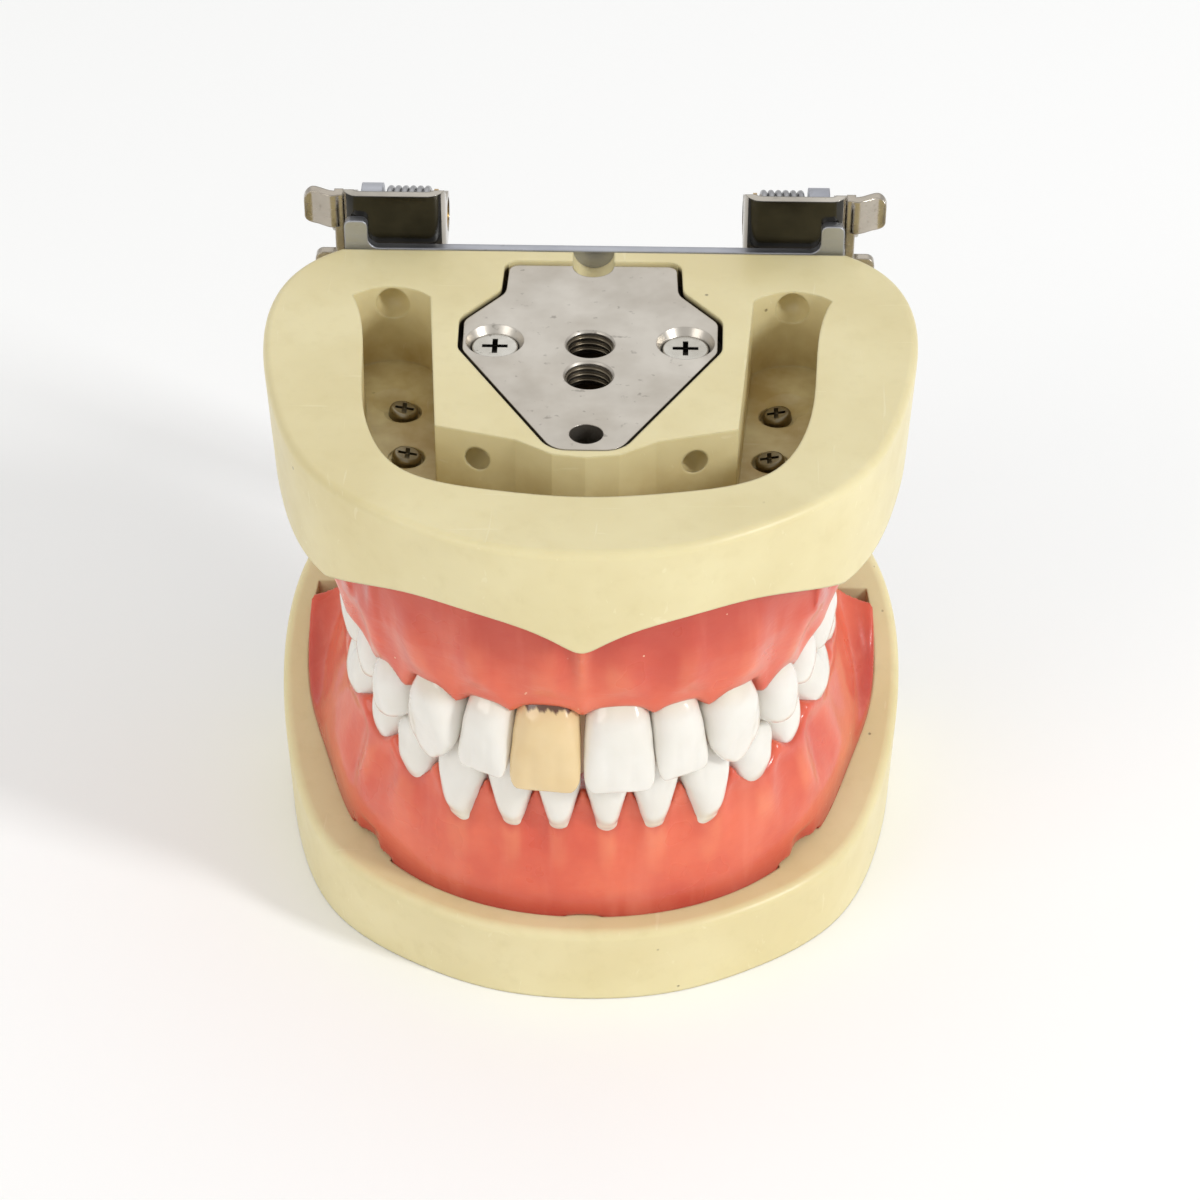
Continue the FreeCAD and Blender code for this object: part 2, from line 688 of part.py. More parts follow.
def upper_base(places, pockets, core):
    top = CLOSED_HEIGHT
    base = upper_shell().fuse(core)
    plan = channel_wire(UPPER_CHANNEL_OUTER, UPPER_CHANNEL_INNER, CHANNEL_END_Y, CHANNEL_FLOOR_Z)
    base = base.cut(prism(plan, 20.0))

    def channel_edge(e):
        middle = e.CenterOfMass
        return at_height(top)(e) and abs(middle.x) < 29 and -25 < middle.y < 22

    base = rounded(base, 0.6, channel_edge)
    recess = plate_blank(PLATE_RECESS_GAP, PLATE_TOP_Z - PLATE_THICKNESS, top + 1)
    groove = cylinder(REAR_GROOVE_RADIUS, vec(0, 22.0, top - 0.1), vec(0, REAR_Y + 1, top - 0.1))
    cuts = [recess, groove] + pockets + sockets(places) + channel_dimples()
    for side, _ in SIDES:
        x, y = side * PLATE_SCREW[0], PLATE_SCREW[1]
        cuts.append(cylinder(1.6, vec(x, y, PLATE_TOP_Z - 8.8), vec(x, y, top)))
        x = side * FRAME_SCREW_X
        cuts.append(cylinder(1.6, vec(x, REAR_Y - 7.5, UPPER_SCREW_Z), vec(x, REAR_Y + 1, UPPER_SCREW_Z)))
    for y in THREAD_HOLE_Y:
        cuts.append(cylinder(THREAD_HOLE_RADIUS + 0.4, vec(0, y, 62.0), vec(0, y, top)))
    y, low = LOCATING_HOLE_Y, PLATE_TOP_Z - LOCATING_HOLE_DEPTH
    cuts.append(cylinder(LOCATING_HOLE_RADIUS, vec(0, y, low), vec(0, y, top)))
    return cut_all(base, cuts)


def upper_gingiva(core, teeth):
    """Soft gingiva and palate in one piece, over the base's core and ridge."""
    front, half_width = UPPER_FRONT_Y + UPPER_WALL_TAPER, UPPER_HALF_WIDTH - UPPER_WALL_TAPER
    inside = prism(d_outline(front, half_width, WALL_THICKNESS + 0.1, z=36.0), 40.0)
    inside = before_y(inside, REAR_Y - 0.5)
    flange = inside.common(box(Vector(-60, -60, 56.5), Vector(60, 60, UPPER_SLAB_BOTTOM)))
    solid = flange.fuse(arch_stack(UPPER_GUM, REAR_Y - 2.0).common(inside))
    solid = solid.cut(arch_stack(UPPER_PALATE, REAR_Y + 3)).cut(core)
    return cut_all(solid, teeth)


# ---------------------------------------------------------------- lower jaw
def rim_cutter():
    """Everything above the lower base's rim, which rises towards the back."""
    half_span, high = 60.0, 60.0
    front = RIM_FRONT_Z
    profile = ((-50, front), (-22, front + 0.3), (-2, 12.6), (10, 15.8), (20, 21.5), (40, 35.0))
    points = [Vector(-half_span, y, z) for y, z in profile]
    edge = spline(points)
    top = [points[-1], Vector(-half_span, 40, high), Vector(-half_span, -50, high), points[0]]
    lines = [Part.makeLine(a, b) for a, b in zip(top, top[1:])]
    return Part.Face(Part.Wire([edge] + lines)).extrude(Vector(2 * half_span, 0, 0))


def frenum_bumps():
    """Round swellings on the inside of the rim, at the lip's frenum and each cheek's."""
    low = LOWER_SLAB_TOP
    return [cylinder(r, vec(x, y, low), vec(x, y, low + 40)) for x, y, r in FRENUM_BUMPS]


def lower_inside(inset):
    """The space inside the lower base's wall."""
    front, half_width = LOWER_FRONT_Y + 0.8, LOWER_HALF_WIDTH - 0.8
    plan = d_outline(front, half_width, inset, LOWER_SLAB_TOP, LOWER_CORNER, RIM_SQUEEZE)
    return prism(plan, 40.0)


def lower_core():
    """The floor of the lower base and the stepped ridge that holds the roots."""
    outer, inner, high = LOWER_RIDGE
    step, step_z = LOWER_RIDGE_STEP
    ridge = prism(arch_wire(outer, inner, 22.6, 0.0), high)
    ridge = ridge.cut(prism(arch_disc(step, REAR_Y, step_z), 40.0))
    return ridge.fuse(prism(arch_disc(LOWER_FLOOR, 22.8, 0.0), LOWER_FLOOR_TOP))


def lower_base(places, pockets, core):
    outer = tapered(LOWER_FRONT_Y, LOWER_HALF_WIDTH, 36.0, 0.0, LOWER_TAPER, LOWER_CORNER)
    outer = outer.cut(rim_cutter())

    def rim(e):
        b = e.BoundBox
        return b.ZMin > RIM_FRONT_Z - 1 and min(b.XLength, b.YLength) > 30

    outer = rounded(outer, 1.1, rim)
    cavity = before_y(lower_inside(WALL_THICKNESS), REAR_WALL_Y)
    bumps = [outer.common(bump) for bump in frenum_bumps()]
    base = outer.cut(cavity).multiFuse(bumps + [core])
    channel = prism(arch_wire(*LOWER_CHANNEL, 21.0, -1.0), LOWER_CHANNEL_TOP_Z + 1.0)
    w = REAR_NOTCH_HALF_WIDTH
    notch = box(Vector(-w, REAR_WALL_Y - 1, REAR_WALL_TOP), Vector(w, 40, 60))
    notch = rounded(notch, 3.0, along_y((w,), REAR_WALL_TOP))
    cuts = [channel, notch] + pockets + sockets(places)
    for side, _ in SIDES:
        x, z = side * FRAME_SCREW_X, LOWER_SCREW_Z
        cuts.append(cylinder(1.6, vec(x, REAR_Y - 5.5, z), vec(x, REAR_Y + 1, z)))
    return cut_all(base, cuts)


def lower_gingiva(core, teeth):
    """Soft gingiva over the lower ridge, filling the space inside the rim."""
    core = core.multiFuse(frenum_bumps())
    inside = before_y(lower_inside(WALL_THICKNESS + 0.1), REAR_WALL_Y - 0.1)
    flange = inside.common(box(Vector(-60, -60, 0), Vector(60, 60, 11.0)))
    solid = flange.fuse(arch_stack(LOWER_GUM, REAR_WALL_Y - 0.5).common(inside))
    solid = solid.cut(arch_stack(LOWER_TONGUE, REAR_Y + 3)).cut(core)
    return cut_all(solid, teeth)


# ---------------------------------------------------------------- hinge
def along_x(radius, x0, x1):
    """A cylinder on the hinge's axis."""
    return cylinder(radius, Vector(x0, HINGE_Y, HINGE_Z), Vector(x1, HINGE_Y, HINGE_Z))


def upper_hinge_plate():
    """An aluminium plate on the back of the upper base with a raised tab at each end."""
    y0, y1 = REAR_Y, REAR_Y + HINGE_PLATE_THICKNESS
    w, top = HINGE_PLATE_HALF_WIDTH, HINGE_PLATE_TOP
    tab_x, tab_z = HINGE_TAB
    parts = [box(Vector(-w, y0, 57.0), Vector(w, y1, top))]
    for side, _ in SIDES:
        parts.append(on_side(box(Vector(tab_x, y0, 66.0), Vector(w, y1, tab_z)), side))
    plate = rounded(fuse(parts), 1.4, along_y((tab_x,), top))
    plate = rounded(plate, 0.8, along_y((tab_x, w), tab_z))
    cuts = []
    for side, _ in SIDES:
        x, z = side * FRAME_SCREW_X, UPPER_SCREW_Z
        cuts.append(cylinder(1.7, vec(x, y0 - 1, z), vec(x, y1 + 1, z)))
        for x in RIVET_X:
            cuts.append(cylinder(1.0, vec(side * x, y0 - 1, RIVET_Z), vec(side * x, y1 + 1, RIVET_Z)))
    return cut_all(plate, cuts)


def upright_edge(x, y):
    """Picks the upright edges of a box at x, y."""

    def chosen(e):
        middle = e.CenterOfMass
        return e.BoundBox.ZLength > 5 and abs(middle.x - x) < 0.01 and abs(middle.y - y) < 0.01

    return chosen


def bracket():
    """A bent steel bracket: a front leaf, and two side leaves that the hinge pin passes through."""
    x0, x1 = BRACKET_X
    y0, y1 = REAR_Y + HINGE_PLATE_THICKNESS, BRACKET_REAR_Y + 4
    z0, z1 = BRACKET_Z
    outer = box(Vector(x0, y0, z0), Vector(x1, y1, z1))
    inner = box(Vector(x0 + SHEET, y0 + SHEET, z0 - 1), Vector(x1 - SHEET, y1 + 1, z1 + 1))
    for x, radius in ((x0, INNER_BEND), (x1, OUTER_BEND)):
        outer = rounded(outer, radius, upright_edge(x, y0))
    for x, radius in ((x0 + SHEET, INNER_BEND - SHEET), (x1 - SHEET, OUTER_BEND - SHEET)):
        inner = rounded(inner, radius, upright_edge(x, y0 + SHEET))
    shell = outer.cut(inner)
    drop = HINGE_Z + LEVER_EYE_RADIUS
    side = [(y0 - 1, z0 - 1), (y0 - 1, z1 + 1), (y0 + 1.6, z1 + 1), (y0 + 1.6, z1)]
    side += [(HINGE_Y - 1.6, drop), (HINGE_Y, drop), (HINGE_Y, z0 - 1)]
    keep = Part.Face(polygon([Vector(0, y, z) for y, z in side])).extrude(Vector(60, 0, 0))
    shell = shell.common(keep.fuse(along_x(LEVER_EYE_RADIUS, 0, 60)))
    tongue = box(Vector(x0 + 2.7, y0, 61.6), Vector(x0 + 9.0, y0 + SHEET, z0 + 1))
    holes = [along_x(BUSH_RADIUS + 0.02, x0 - 1, x0 + SHEET + 0.3)]
    holes.append(along_x(HINGE_PIN_RADIUS + RUNNING_GAP, x1 - SHEET - 1, x1 + 1))
    for x in RIVET_X:
        holes.append(cylinder(1.0, vec(x, y0 - 1, RIVET_Z), vec(x, y0 + 3, RIVET_Z)))
    return cut_all(shell.fuse(tongue).removeSplitter(), holes)


def rivets():
    """Dome-headed rivets that hold the brackets to the upper hinge plate."""
    made = []
    y0, y1 = REAR_Y + 0.2, REAR_Y + HINGE_PLATE_THICKNESS + SHEET
    for side, _ in SIDES:
        for x in RIVET_X:
            seat, top = vec(side * x, y1, RIVET_Z), vec(side * x, y1 + 0.8, RIVET_Z)
            shank = cylinder(1.0, vec(side * x, y0, RIVET_Z), seat)
            made.append(shank.fuse(rounded(cylinder(1.6, seat, top), 0.5, ring_at(top))))
    return made


def frame_screws(z, length, plate_thickness):
    """Pan-head screws through a hinge plate into the back of a base."""
    made = []
    back = Vector(0, 1, 0)
    for side, _ in SIDES:
        seat = vec(side * FRAME_SCREW_X, REAR_Y + plate_thickness, z)
        top = seat + back * 1.5
        head = rounded(cylinder(2.8, seat, top), 0.6, ring_at(top))
        screw = head.fuse(cylinder(1.6, seat - back * length, seat + back * 0.2))
        made.append(screw.cut(cross_recess(top, back, 1.5, 0.6, 0.9)))
    return made


def lower_hinge_frame():
    """An aluminium plate on the back of the lower base with two arms that rise to the hinge."""
    y0, y1 = REAR_Y, REAR_Y + FRAME_PLATE_THICKNESS
    x0, x1 = ARM_X
    low, high = 1.2, 17.0
    plate = box(Vector(-x1, y0, low), Vector(x1, y1, high))
    plate = rounded(rounded(plate, 3.0, along_y((x1,), low)), 3.0, along_y((x1,), high))
    parts = [plate]
    front, back = HINGE_Y - 3.1, HINGE_Y + 3.4
    side_view = [(y0 + 0.5, 4.0), (y0 + 0.5, 16.0), (y1, 19.0), (front, 30.0), (front, HINGE_Z)]
    side_view += [(back, HINGE_Z), (back, 26.0), (y1 + 2.0, 4.0)]
    outline = polygon([Vector(x0, y, z) for y, z in side_view])
    arm = Part.Face(outline).extrude(Vector(x1 - x0, 0, 0)).fuse(along_x(ARM_EYE_RADIUS, x0, x1))
    hole = along_x(HINGE_PIN_RADIUS, x0 - 1, x1 + 1)
    cuts = []
    for side, _ in SIDES:
        x, z = side * FRAME_SCREW_X, LOWER_SCREW_Z
        parts.append(on_side(arm, side))
        cuts.append(on_side(hole, side))
        cuts.append(cylinder(1.7, vec(x, y0 - 1, z), vec(x, y1 + 1, z)))
    return cut_all(fuse(parts), cuts)


def hinge_pin():
    """A headed pin pressed into the lower frame's eye."""
    pin = along_x(HINGE_PIN_RADIUS, PIN_INNER_X, PIN_HEAD_X[0] + 0.1)
    pin = rounded(pin, 0.35, ring_at(Vector(PIN_INNER_X, HINGE_Y, HINGE_Z)))
    head = along_x(PIN_HEAD_RADIUS, *PIN_HEAD_X)
    return pin.fuse(rounded(head, 0.3, ring_at(Vector(PIN_HEAD_X[1], HINGE_Y, HINGE_Z))))


def hinge_bush():
    """A flanged bush that carries the bracket's inner leaf on the pin."""
    x0, x1 = BRACKET_X[0], BRACKET_X[0] + SHEET
    sleeve = along_x(BUSH_RADIUS, x0 + 0.1, x1 + 0.3)
    flange = along_x(BUSH_RADIUS + 1.0, x1 + 0.03, x1 + 0.5)
    return sleeve.fuse(flange).cut(along_x(HINGE_PIN_RADIUS + RUNNING_GAP, x0 - 1, x1 + 1))


def hinge_spring():
    """A compression spring between the bush and the lower frame's eye."""
    start = BRACKET_X[0] + SHEET + 0.52 + SPRING_WIRE_RADIUS
    end = ARM_X[0] - 0.02 - SPRING_WIRE_RADIUS
    helix = Part.makeHelix((end - start) / SPRING_TURNS, end - start, SPRING_RADIUS)
    circle = Part.Circle(Vector(SPRING_RADIUS, 0, 0), Vector(0, 1, 0), SPRING_WIRE_RADIUS)
    coil = Part.Wire(helix).makePipeShell([Part.Wire(circle.toShape())], True, True)
    coil.rotate(Vector(0, 0, 0), Vector(0, 1, 0), 90)
    coil.translate(Vector(start, HINGE_Y, HINGE_Z))
    return coil


def thumb_tab(x, y):
    """The curled tab that a thumb pushes, starting on the lever's outer face."""
    front = [vec(x - 0.6, y), vec(x + 1.2, y + 0.1), vec(x + 2.5, y + 0.8), vec(x + 3.7, y + 0.5)]
    rear = [vec(x + 3.8, y + 1.6), vec(x + 2.3, y + 2.0), vec(x + 0.9, y + 1.25), vec(x - 0.6, y + 1.1)]
    ends = [Part.makeLine(front[-1], rear[0]), Part.makeLine(rear[-1], front[0])]
    tab = Part.Face(Part.Wire([spline(front), ends[0], spline(rear), ends[1]])).extrude(Vector(0, 0, 4.5))

    def tip(e):
        b = e.BoundBox
        return b.ZLength < 0.01 and b.XMin > x + 3.5 and b.XLength < 0.5

    return rounded(tab.translated(Vector(0, 0, LEVER_TOP - 4.5)), 1.3, tip)


def release_lever():
    """A sheet lever on the hinge pin with a curled thumb tab above and a short foot tab below."""
    x0, x1 = LEVER_X
    y, z, eye = HINGE_Y, HINGE_Z, LEVER_EYE_RADIUS
    profile = [(y - 4.7, LEVER_TOP), (y - 4.7, 62.0), (y - 1.6, 61.2), (y + 2.0, z - 2.1)]
    profile += [(y, z + eye), (y - 1.6, z + eye), (y - 3.2, LEVER_TOP)]
    face = Part.Face(polygon([Vector(x0, a, b) for a, b in profile]))
    plate = face.extrude(Vector(x1 - x0, 0, 0)).fuse(along_x(eye, x0, x1))
    low, high, reach = FOOT_TAB
    foot = box(Vector(x0 + 0.2, y - 4.7, low), Vector(reach, y - 3.5, high))
    for height in (low, high):
        foot = rounded(foot, 1.0, along_y((reach,), height))
    lever = fuse([plate, thumb_tab(x1, y - 4.7), foot])
    return lever.cut(along_x(HINGE_PIN_RADIUS + RUNNING_GAP, x0 - 1, x1 + 1))


# ---------------------------------------------------------------- build
def main():
    os.makedirs(OUT_FOLDER, exist_ok=True)
    upper = tooth_places(UPPER_ARCH, UPPER_TEETH, Vector(0, 0, -1))
    lower = tooth_places(LOWER_ARCH, LOWER_TEETH, Vector(0, 0, 1))
    upper_teeth = make_teeth("upper", upper)
    lower_teeth = make_teeth("lower", lower)

    screws, pockets = tooth_screws(upper, CHANNEL_FLOOR_Z)
    export("upper_tooth_screws", Part.makeCompound(screws))
    export("upper_base", upper_base(upper, pockets, upper_core()))
    export("upper_gingiva", upper_gingiva(upper_core(), upper_teeth))

    screws, pockets = tooth_screws(lower, LOWER_CHANNEL_TOP_Z)
    export("lower_tooth_screws", Part.makeCompound(screws))
    export("lower_base", lower_base(lower, pockets, lower_core()))
    export("lower_gingiva", lower_gingiva(lower_core(), lower_teeth))

    export("mounting_plate", mounting_plate())
    export("mounting_plate_screws", Part.makeCompound(mounting_plate_screws()))
    export("upper_hinge_plate", upper_hinge_plate())
    screws = frame_screws(UPPER_SCREW_Z, 8.0, HINGE_PLATE_THICKNESS)
    export("upper_hinge_plate_screws", Part.makeCompound(screws))
    export("bracket_rivets", Part.makeCompound(rivets()))
    export("lower_hinge_frame", lower_hinge_frame())
    screws = frame_screws(LOWER_SCREW_Z, 7.5, FRAME_PLATE_THICKNESS)
    export("lower_hinge_frame_screws", Part.makeCompound(screws))
    for side, word in SIDES:
        export(f"{word}_hinge_bracket", on_side(bracket(), side))
        export(f"{word}_hinge_pin", on_side(hinge_pin(), side))
        export(f"{word}_hinge_bush", on_side(hinge_bush(), side))
        export(f"{word}_hinge_spring", on_side(hinge_spring(), side))
        export(f"{word}_release_lever", on_side(release_lever(), side))


main()
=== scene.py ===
import math

import bpy
import numpy as np
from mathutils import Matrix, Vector


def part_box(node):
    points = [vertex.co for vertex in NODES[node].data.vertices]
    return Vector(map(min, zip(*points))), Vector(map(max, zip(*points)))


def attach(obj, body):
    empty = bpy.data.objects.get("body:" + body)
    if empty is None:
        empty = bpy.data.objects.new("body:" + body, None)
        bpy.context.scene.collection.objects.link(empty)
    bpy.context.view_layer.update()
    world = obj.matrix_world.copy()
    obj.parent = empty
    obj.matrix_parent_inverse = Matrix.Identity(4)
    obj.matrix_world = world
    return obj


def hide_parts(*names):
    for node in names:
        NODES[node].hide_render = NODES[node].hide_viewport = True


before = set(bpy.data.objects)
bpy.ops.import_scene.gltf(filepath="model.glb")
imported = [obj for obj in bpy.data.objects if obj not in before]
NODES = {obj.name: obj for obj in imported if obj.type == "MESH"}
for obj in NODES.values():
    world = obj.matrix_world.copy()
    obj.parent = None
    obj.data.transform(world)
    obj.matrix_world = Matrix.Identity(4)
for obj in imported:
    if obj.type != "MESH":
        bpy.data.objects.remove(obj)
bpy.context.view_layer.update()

MM = 0.001
scene = bpy.context.scene

# ---------------------------------------------------------------- camera
ELEVATION, TURN, DISTANCE = math.radians(37.7), math.radians(1.4), 0.400
TARGET = Vector((0.0, -0.008, 0.045))
camera_data = bpy.data.cameras.new("camera")
camera = bpy.data.objects.new("camera", camera_data)
scene.collection.objects.link(camera)
camera.location = TARGET + DISTANCE * Vector(
    (
        math.sin(TURN) * math.cos(ELEVATION),
        -math.cos(TURN) * math.cos(ELEVATION),
        math.sin(ELEVATION),
    )
)
camera.rotation_euler = (TARGET - camera.location).to_track_quat("-Z", "Y").to_euler()
camera_data.sensor_width = 36.0
camera_data.lens = 102.0
camera_data.shift_x = 13.5 / 1200.0
camera_data.clip_start = 0.01
camera_data.clip_end = 20.0
scene.camera = camera


# ---------------------------------------------------------------- light and world
def area_light(name, place, size, power, colour=(1, 1, 1), target=(0, 0, 0.045)):
    data = bpy.data.lights.new(name, "AREA")
    data.shape = "RECTANGLE"
    data.size, data.size_y = size
    data.energy = power
    data.color = colour
    lamp = bpy.data.objects.new(name, data)
    scene.collection.objects.link(lamp)
    lamp.location = place
    lamp.rotation_euler = (Vector(target) - Vector(place)).to_track_quat("-Z", "Y").to_euler()


area_light("key_front", (-0.78, -0.70, 0.62), (0.70, 0.60), 2.6, (1.0, 0.985, 0.96))
area_light("window_right", (0.85, -0.45, 0.60), (0.13, 0.30), 5.5, (0.97, 0.985, 1.0))
area_light("back_soft", (0.0, 0.95, 0.85), (1.3, 0.6), 1.1)

world = bpy.data.worlds.new("studio")
scene.world = world
world.use_nodes = True
world.node_tree.nodes["Background"].inputs["Color"].default_value = (1.0, 1.0, 1.0, 1.0)
world.node_tree.nodes["Background"].inputs["Strength"].default_value = 0.70
scene.view_settings.view_transform = "Standard"


# ---------------------------------------------------------------- material helpers
def rgb(r, g, b):
    """A display colour from 0 to 255 as linear light."""
    linear = []
    for channel in (r, g, b):
        share = channel / 255.0
        linear.append(share / 12.92 if channel < 11 else ((share + 0.055) / 1.055) ** 2.4)
    return tuple(linear) + (1.0,)


class Maker:
    """A short way to write a node material."""

    def __init__(self, name):
        self.material = bpy.data.materials.new(name)
        self.material.use_nodes = True
        self.tree = self.material.node_tree
        self.shader = self.tree.nodes["Principled BSDF"]
        self.place = self.node("ShaderNodeTexCoord").outputs["Object"]

    def node(self, kind, **values):
        made = self.tree.nodes.new(kind)
        for key, value in values.items():
            setattr(made, key, value)
        return made

    def link(self, source, target):
        self.tree.links.new(source, target)

    def fill(self, socket, value):
        if isinstance(value, bpy.types.NodeSocket):
            self.link(value, socket)
        else:
            socket.default_value = value

    def set(self, **values):
        names = {
            "colour": "Base Color", "metal": "Metallic", "rough": "Roughness", "coat": "Coat Weight",
            "coat_rough": "Coat Roughness", "sss": "Subsurface Weight", "sss_scale": "Subsurface Scale",
            "sss_radius": "Subsurface Radius", "normal": "Normal", "specular": "Specular IOR Level",
        }
        for key, value in values.items():
            self.fill(self.shader.inputs[names[key]], value)

    def stretch(self, x, y, z):
        made = self.node("ShaderNodeMapping")
        self.link(self.place, made.inputs["Vector"])
        made.inputs["Scale"].default_value = (x, y, z)
        return made.outputs["Vector"]

    def noise(self, scale, detail=3.0, rough=0.5, place=None, distort=0.0):
        made = self.node("ShaderNodeTexNoise")
        self.link(place or self.place, made.inputs["Vector"])
        made.inputs["Scale"].default_value = scale
        made.inputs["Detail"].default_value = detail
        made.inputs["Roughness"].default_value = rough
        made.inputs["Distortion"].default_value = distort
        return made.outputs["Fac"]

    def cells(self, scale):
        """The distance from the nearest of many scattered points."""
        made = self.node("ShaderNodeTexVoronoi")
        self.link(self.place, made.inputs["Vector"])
        made.inputs["Scale"].default_value = scale
        return made.outputs["Distance"]

    def ramp(self, source, *stops):
        made = self.node("ShaderNodeValToRGB")
        elements = made.color_ramp.elements
        while len(elements) < len(stops):
            elements.new(0.5)
        for element, (position, value) in zip(elements, stops):
            element.position = position
            element.color = value if isinstance(value, tuple) else (value, value, value, 1.0)
        self.link(source, made.inputs["Fac"])
        return made.outputs["Color"]

    def mix(self, share, a, b):
        made = self.node("ShaderNodeMix", data_type="RGBA")
        self.fill(made.inputs["Factor"], share)
        self.fill(made.inputs[6], a)
        self.fill(made.inputs[7], b)
        return made.outputs[2]

    def math(self, how, a, b=0.0, clamp=False):
        made = self.node("ShaderNodeMath", operation=how, use_clamp=clamp)
        self.fill(made.inputs[0], a)
        self.fill(made.inputs[1], b)
        return made.outputs[0]

    def bump(self, height, strength, distance, normal=None):
        made = self.node("ShaderNodeBump")
        made.inputs["Strength"].default_value = strength
        made.inputs["Distance"].default_value = distance
        self.link(height, made.inputs["Height"])
        if normal is not None:
            self.link(normal, made.inputs["Normal"])
        return made.outputs["Normal"]

    def soft_edges(self, radius):
        made = self.node("ShaderNodeBevel", samples=6)
        made.inputs["Radius"].default_value = radius
        return made.outputs["Normal"]

    def split(self):
        """The three separate object coordinates, in metres."""
        made = self.node("ShaderNodeSeparateXYZ")
        self.link(self.place, made.inputs[0])
        return made.outputs["X"], made.outputs["Y"], made.outputs["Z"]

    def slope(self, source, low, high):
        """0 to 1 as the source goes from low to high, in metres."""
        made = self.node("ShaderNodeMapRange")
        self.link(source, made.inputs["Value"])
        made.inputs["From Min"].default_value = low
        made.inputs["From Max"].default_value = high
        return made.outputs["Result"]

    def attribute(self, name):
        return self.node("ShaderNodeAttribute", attribute_name=name).outputs["Fac"]


def cream_resin(name, light, deep, edge_radius):
    m = Maker(name)
    cloud = m.noise(55.0, 4.0, 0.55)
    fine = m.noise(420.0, 4.0, 0.6)
    colour = m.mix(m.ramp(cloud, (0.36, 0.0), (0.66, 1.0)), light, deep)
    colour = m.mix(m.ramp(fine, (0.52, 0.0), (0.75, 0.22)), colour, rgb(205, 190, 138))
    near = m.ramp(m.cells(330.0), (0.05, 1.0), (0.085, 0.0))
    rare = m.ramp(m.noise(95.0, 2.0), (0.60, 0.0), (0.66, 1.0))
    pit = m.math("MULTIPLY", near, rare)
    colour = m.mix(m.math("MULTIPLY", pit, 0.75), colour, rgb(120, 112, 84))
    scratch_a = m.noise(60.0, 2.0, 0.5, m.stretch(1.0, 22.0, 9.0), 0.6)
    scratch_b = m.noise(60.0, 2.0, 0.5, m.stretch(19.0, 1.3, 7.0), 0.8)
    line_a = m.ramp(scratch_a, (0.70, 0.0), (0.73, 1.0))
    line_b = m.ramp(scratch_b, (0.71, 0.0), (0.74, 1.0))
    lines = m.math("MAXIMUM", line_a, line_b)
    colour = m.mix(m.math("MULTIPLY", lines, 0.16), colour, rgb(250, 243, 214))
    height = m.math("SUBTRACT", m.math("MULTIPLY", cloud, 0.5), m.math("MULTIPLY", pit, 1.1))
    height = m.math("SUBTRACT", height, m.math("MULTIPLY", lines, 0.12))
    height = m.math("ADD", height, m.math("MULTIPLY", fine, 0.12))
    normal = m.bump(height, 0.35, 0.00022, m.soft_edges(edge_radius))
    rough = m.ramp(m.noise(150.0, 3.0), (0.3, 0.33), (0.7, 0.47))
    m.set(colour=colour, rough=rough, normal=normal, sss=0.10, sss_scale=0.0015, coat=0.10, coat_rough=0.25)
    m.set(sss_radius=(1.0, 0.8, 0.4), specular=0.42)
    return m


def paint_channel_shade(m):
    """Painted brown shade on the floors of the upper base's channels, and painted dark shade in the gap
    round the mounting plate.
    """
    x, y, z = m.split()
    arch_half_width, arch_middle, arch_length = 0.030, 0.019, 0.044
    across = m.math("DIVIDE", x, arch_half_width)
    along = m.math("DIVIDE", m.math("SUBTRACT", y, arch_middle), arch_length)
    squares = [m.math("POWER", m.math("ABSOLUTE", part), 2.0) for part in (across, along)]
    round_arch = m.math("SQRT", m.math("ADD", *squares))
    inside = m.math("LESS_THAN", round_arch, 1.10)
    # painted shade: brown in patches on the channel floors below this height
    shade_top, shade_full = 0.0690, 0.0600
    low = m.slope(z, shade_top, shade_full)
    cloud = m.ramp(m.noise(110.0, 4.0, 0.62), (0.34, 0.10), (0.66, 1.0))
    channel_shade = m.math("MULTIPLY", m.math("MULTIPLY", inside, low), cloud)
    colour = m.shader.inputs["Base Color"].links[0].from_socket
    colour = m.mix(m.math("MULTIPLY", channel_shade, 0.72), colour, rgb(172, 140, 76))
    tip_y, tip_half_width, spread, widest = -0.0124, 0.0046, 0.56, 0.0162
    half_plate = m.math("MULTIPLY", m.math("ADD", y, -tip_y), spread)
    half_plate = m.math("MINIMUM", m.math("ADD", half_plate, tip_half_width), widest)
    front, rear = -0.0125, 0.0262
    lengthways = m.math("MULTIPLY", m.math("LESS_THAN", y, rear), m.math("GREATER_THAN", y, front))
    beside_plate = m.math("MULTIPLY", m.math("LESS_THAN", m.math("ABSOLUTE", x), half_plate), lengthways)
    # painted shade: near-black in the recess gap beside the mounting plate
    gap_shade_top, gap_shade_full = 0.06995, 0.0692
    plate_gap_shade = m.math("MULTIPLY", beside_plate, m.slope(z, gap_shade_top, gap_shade_full))
    m.set(colour=m.mix(plate_gap_shade, colour, rgb(52, 40, 24)))
    return m


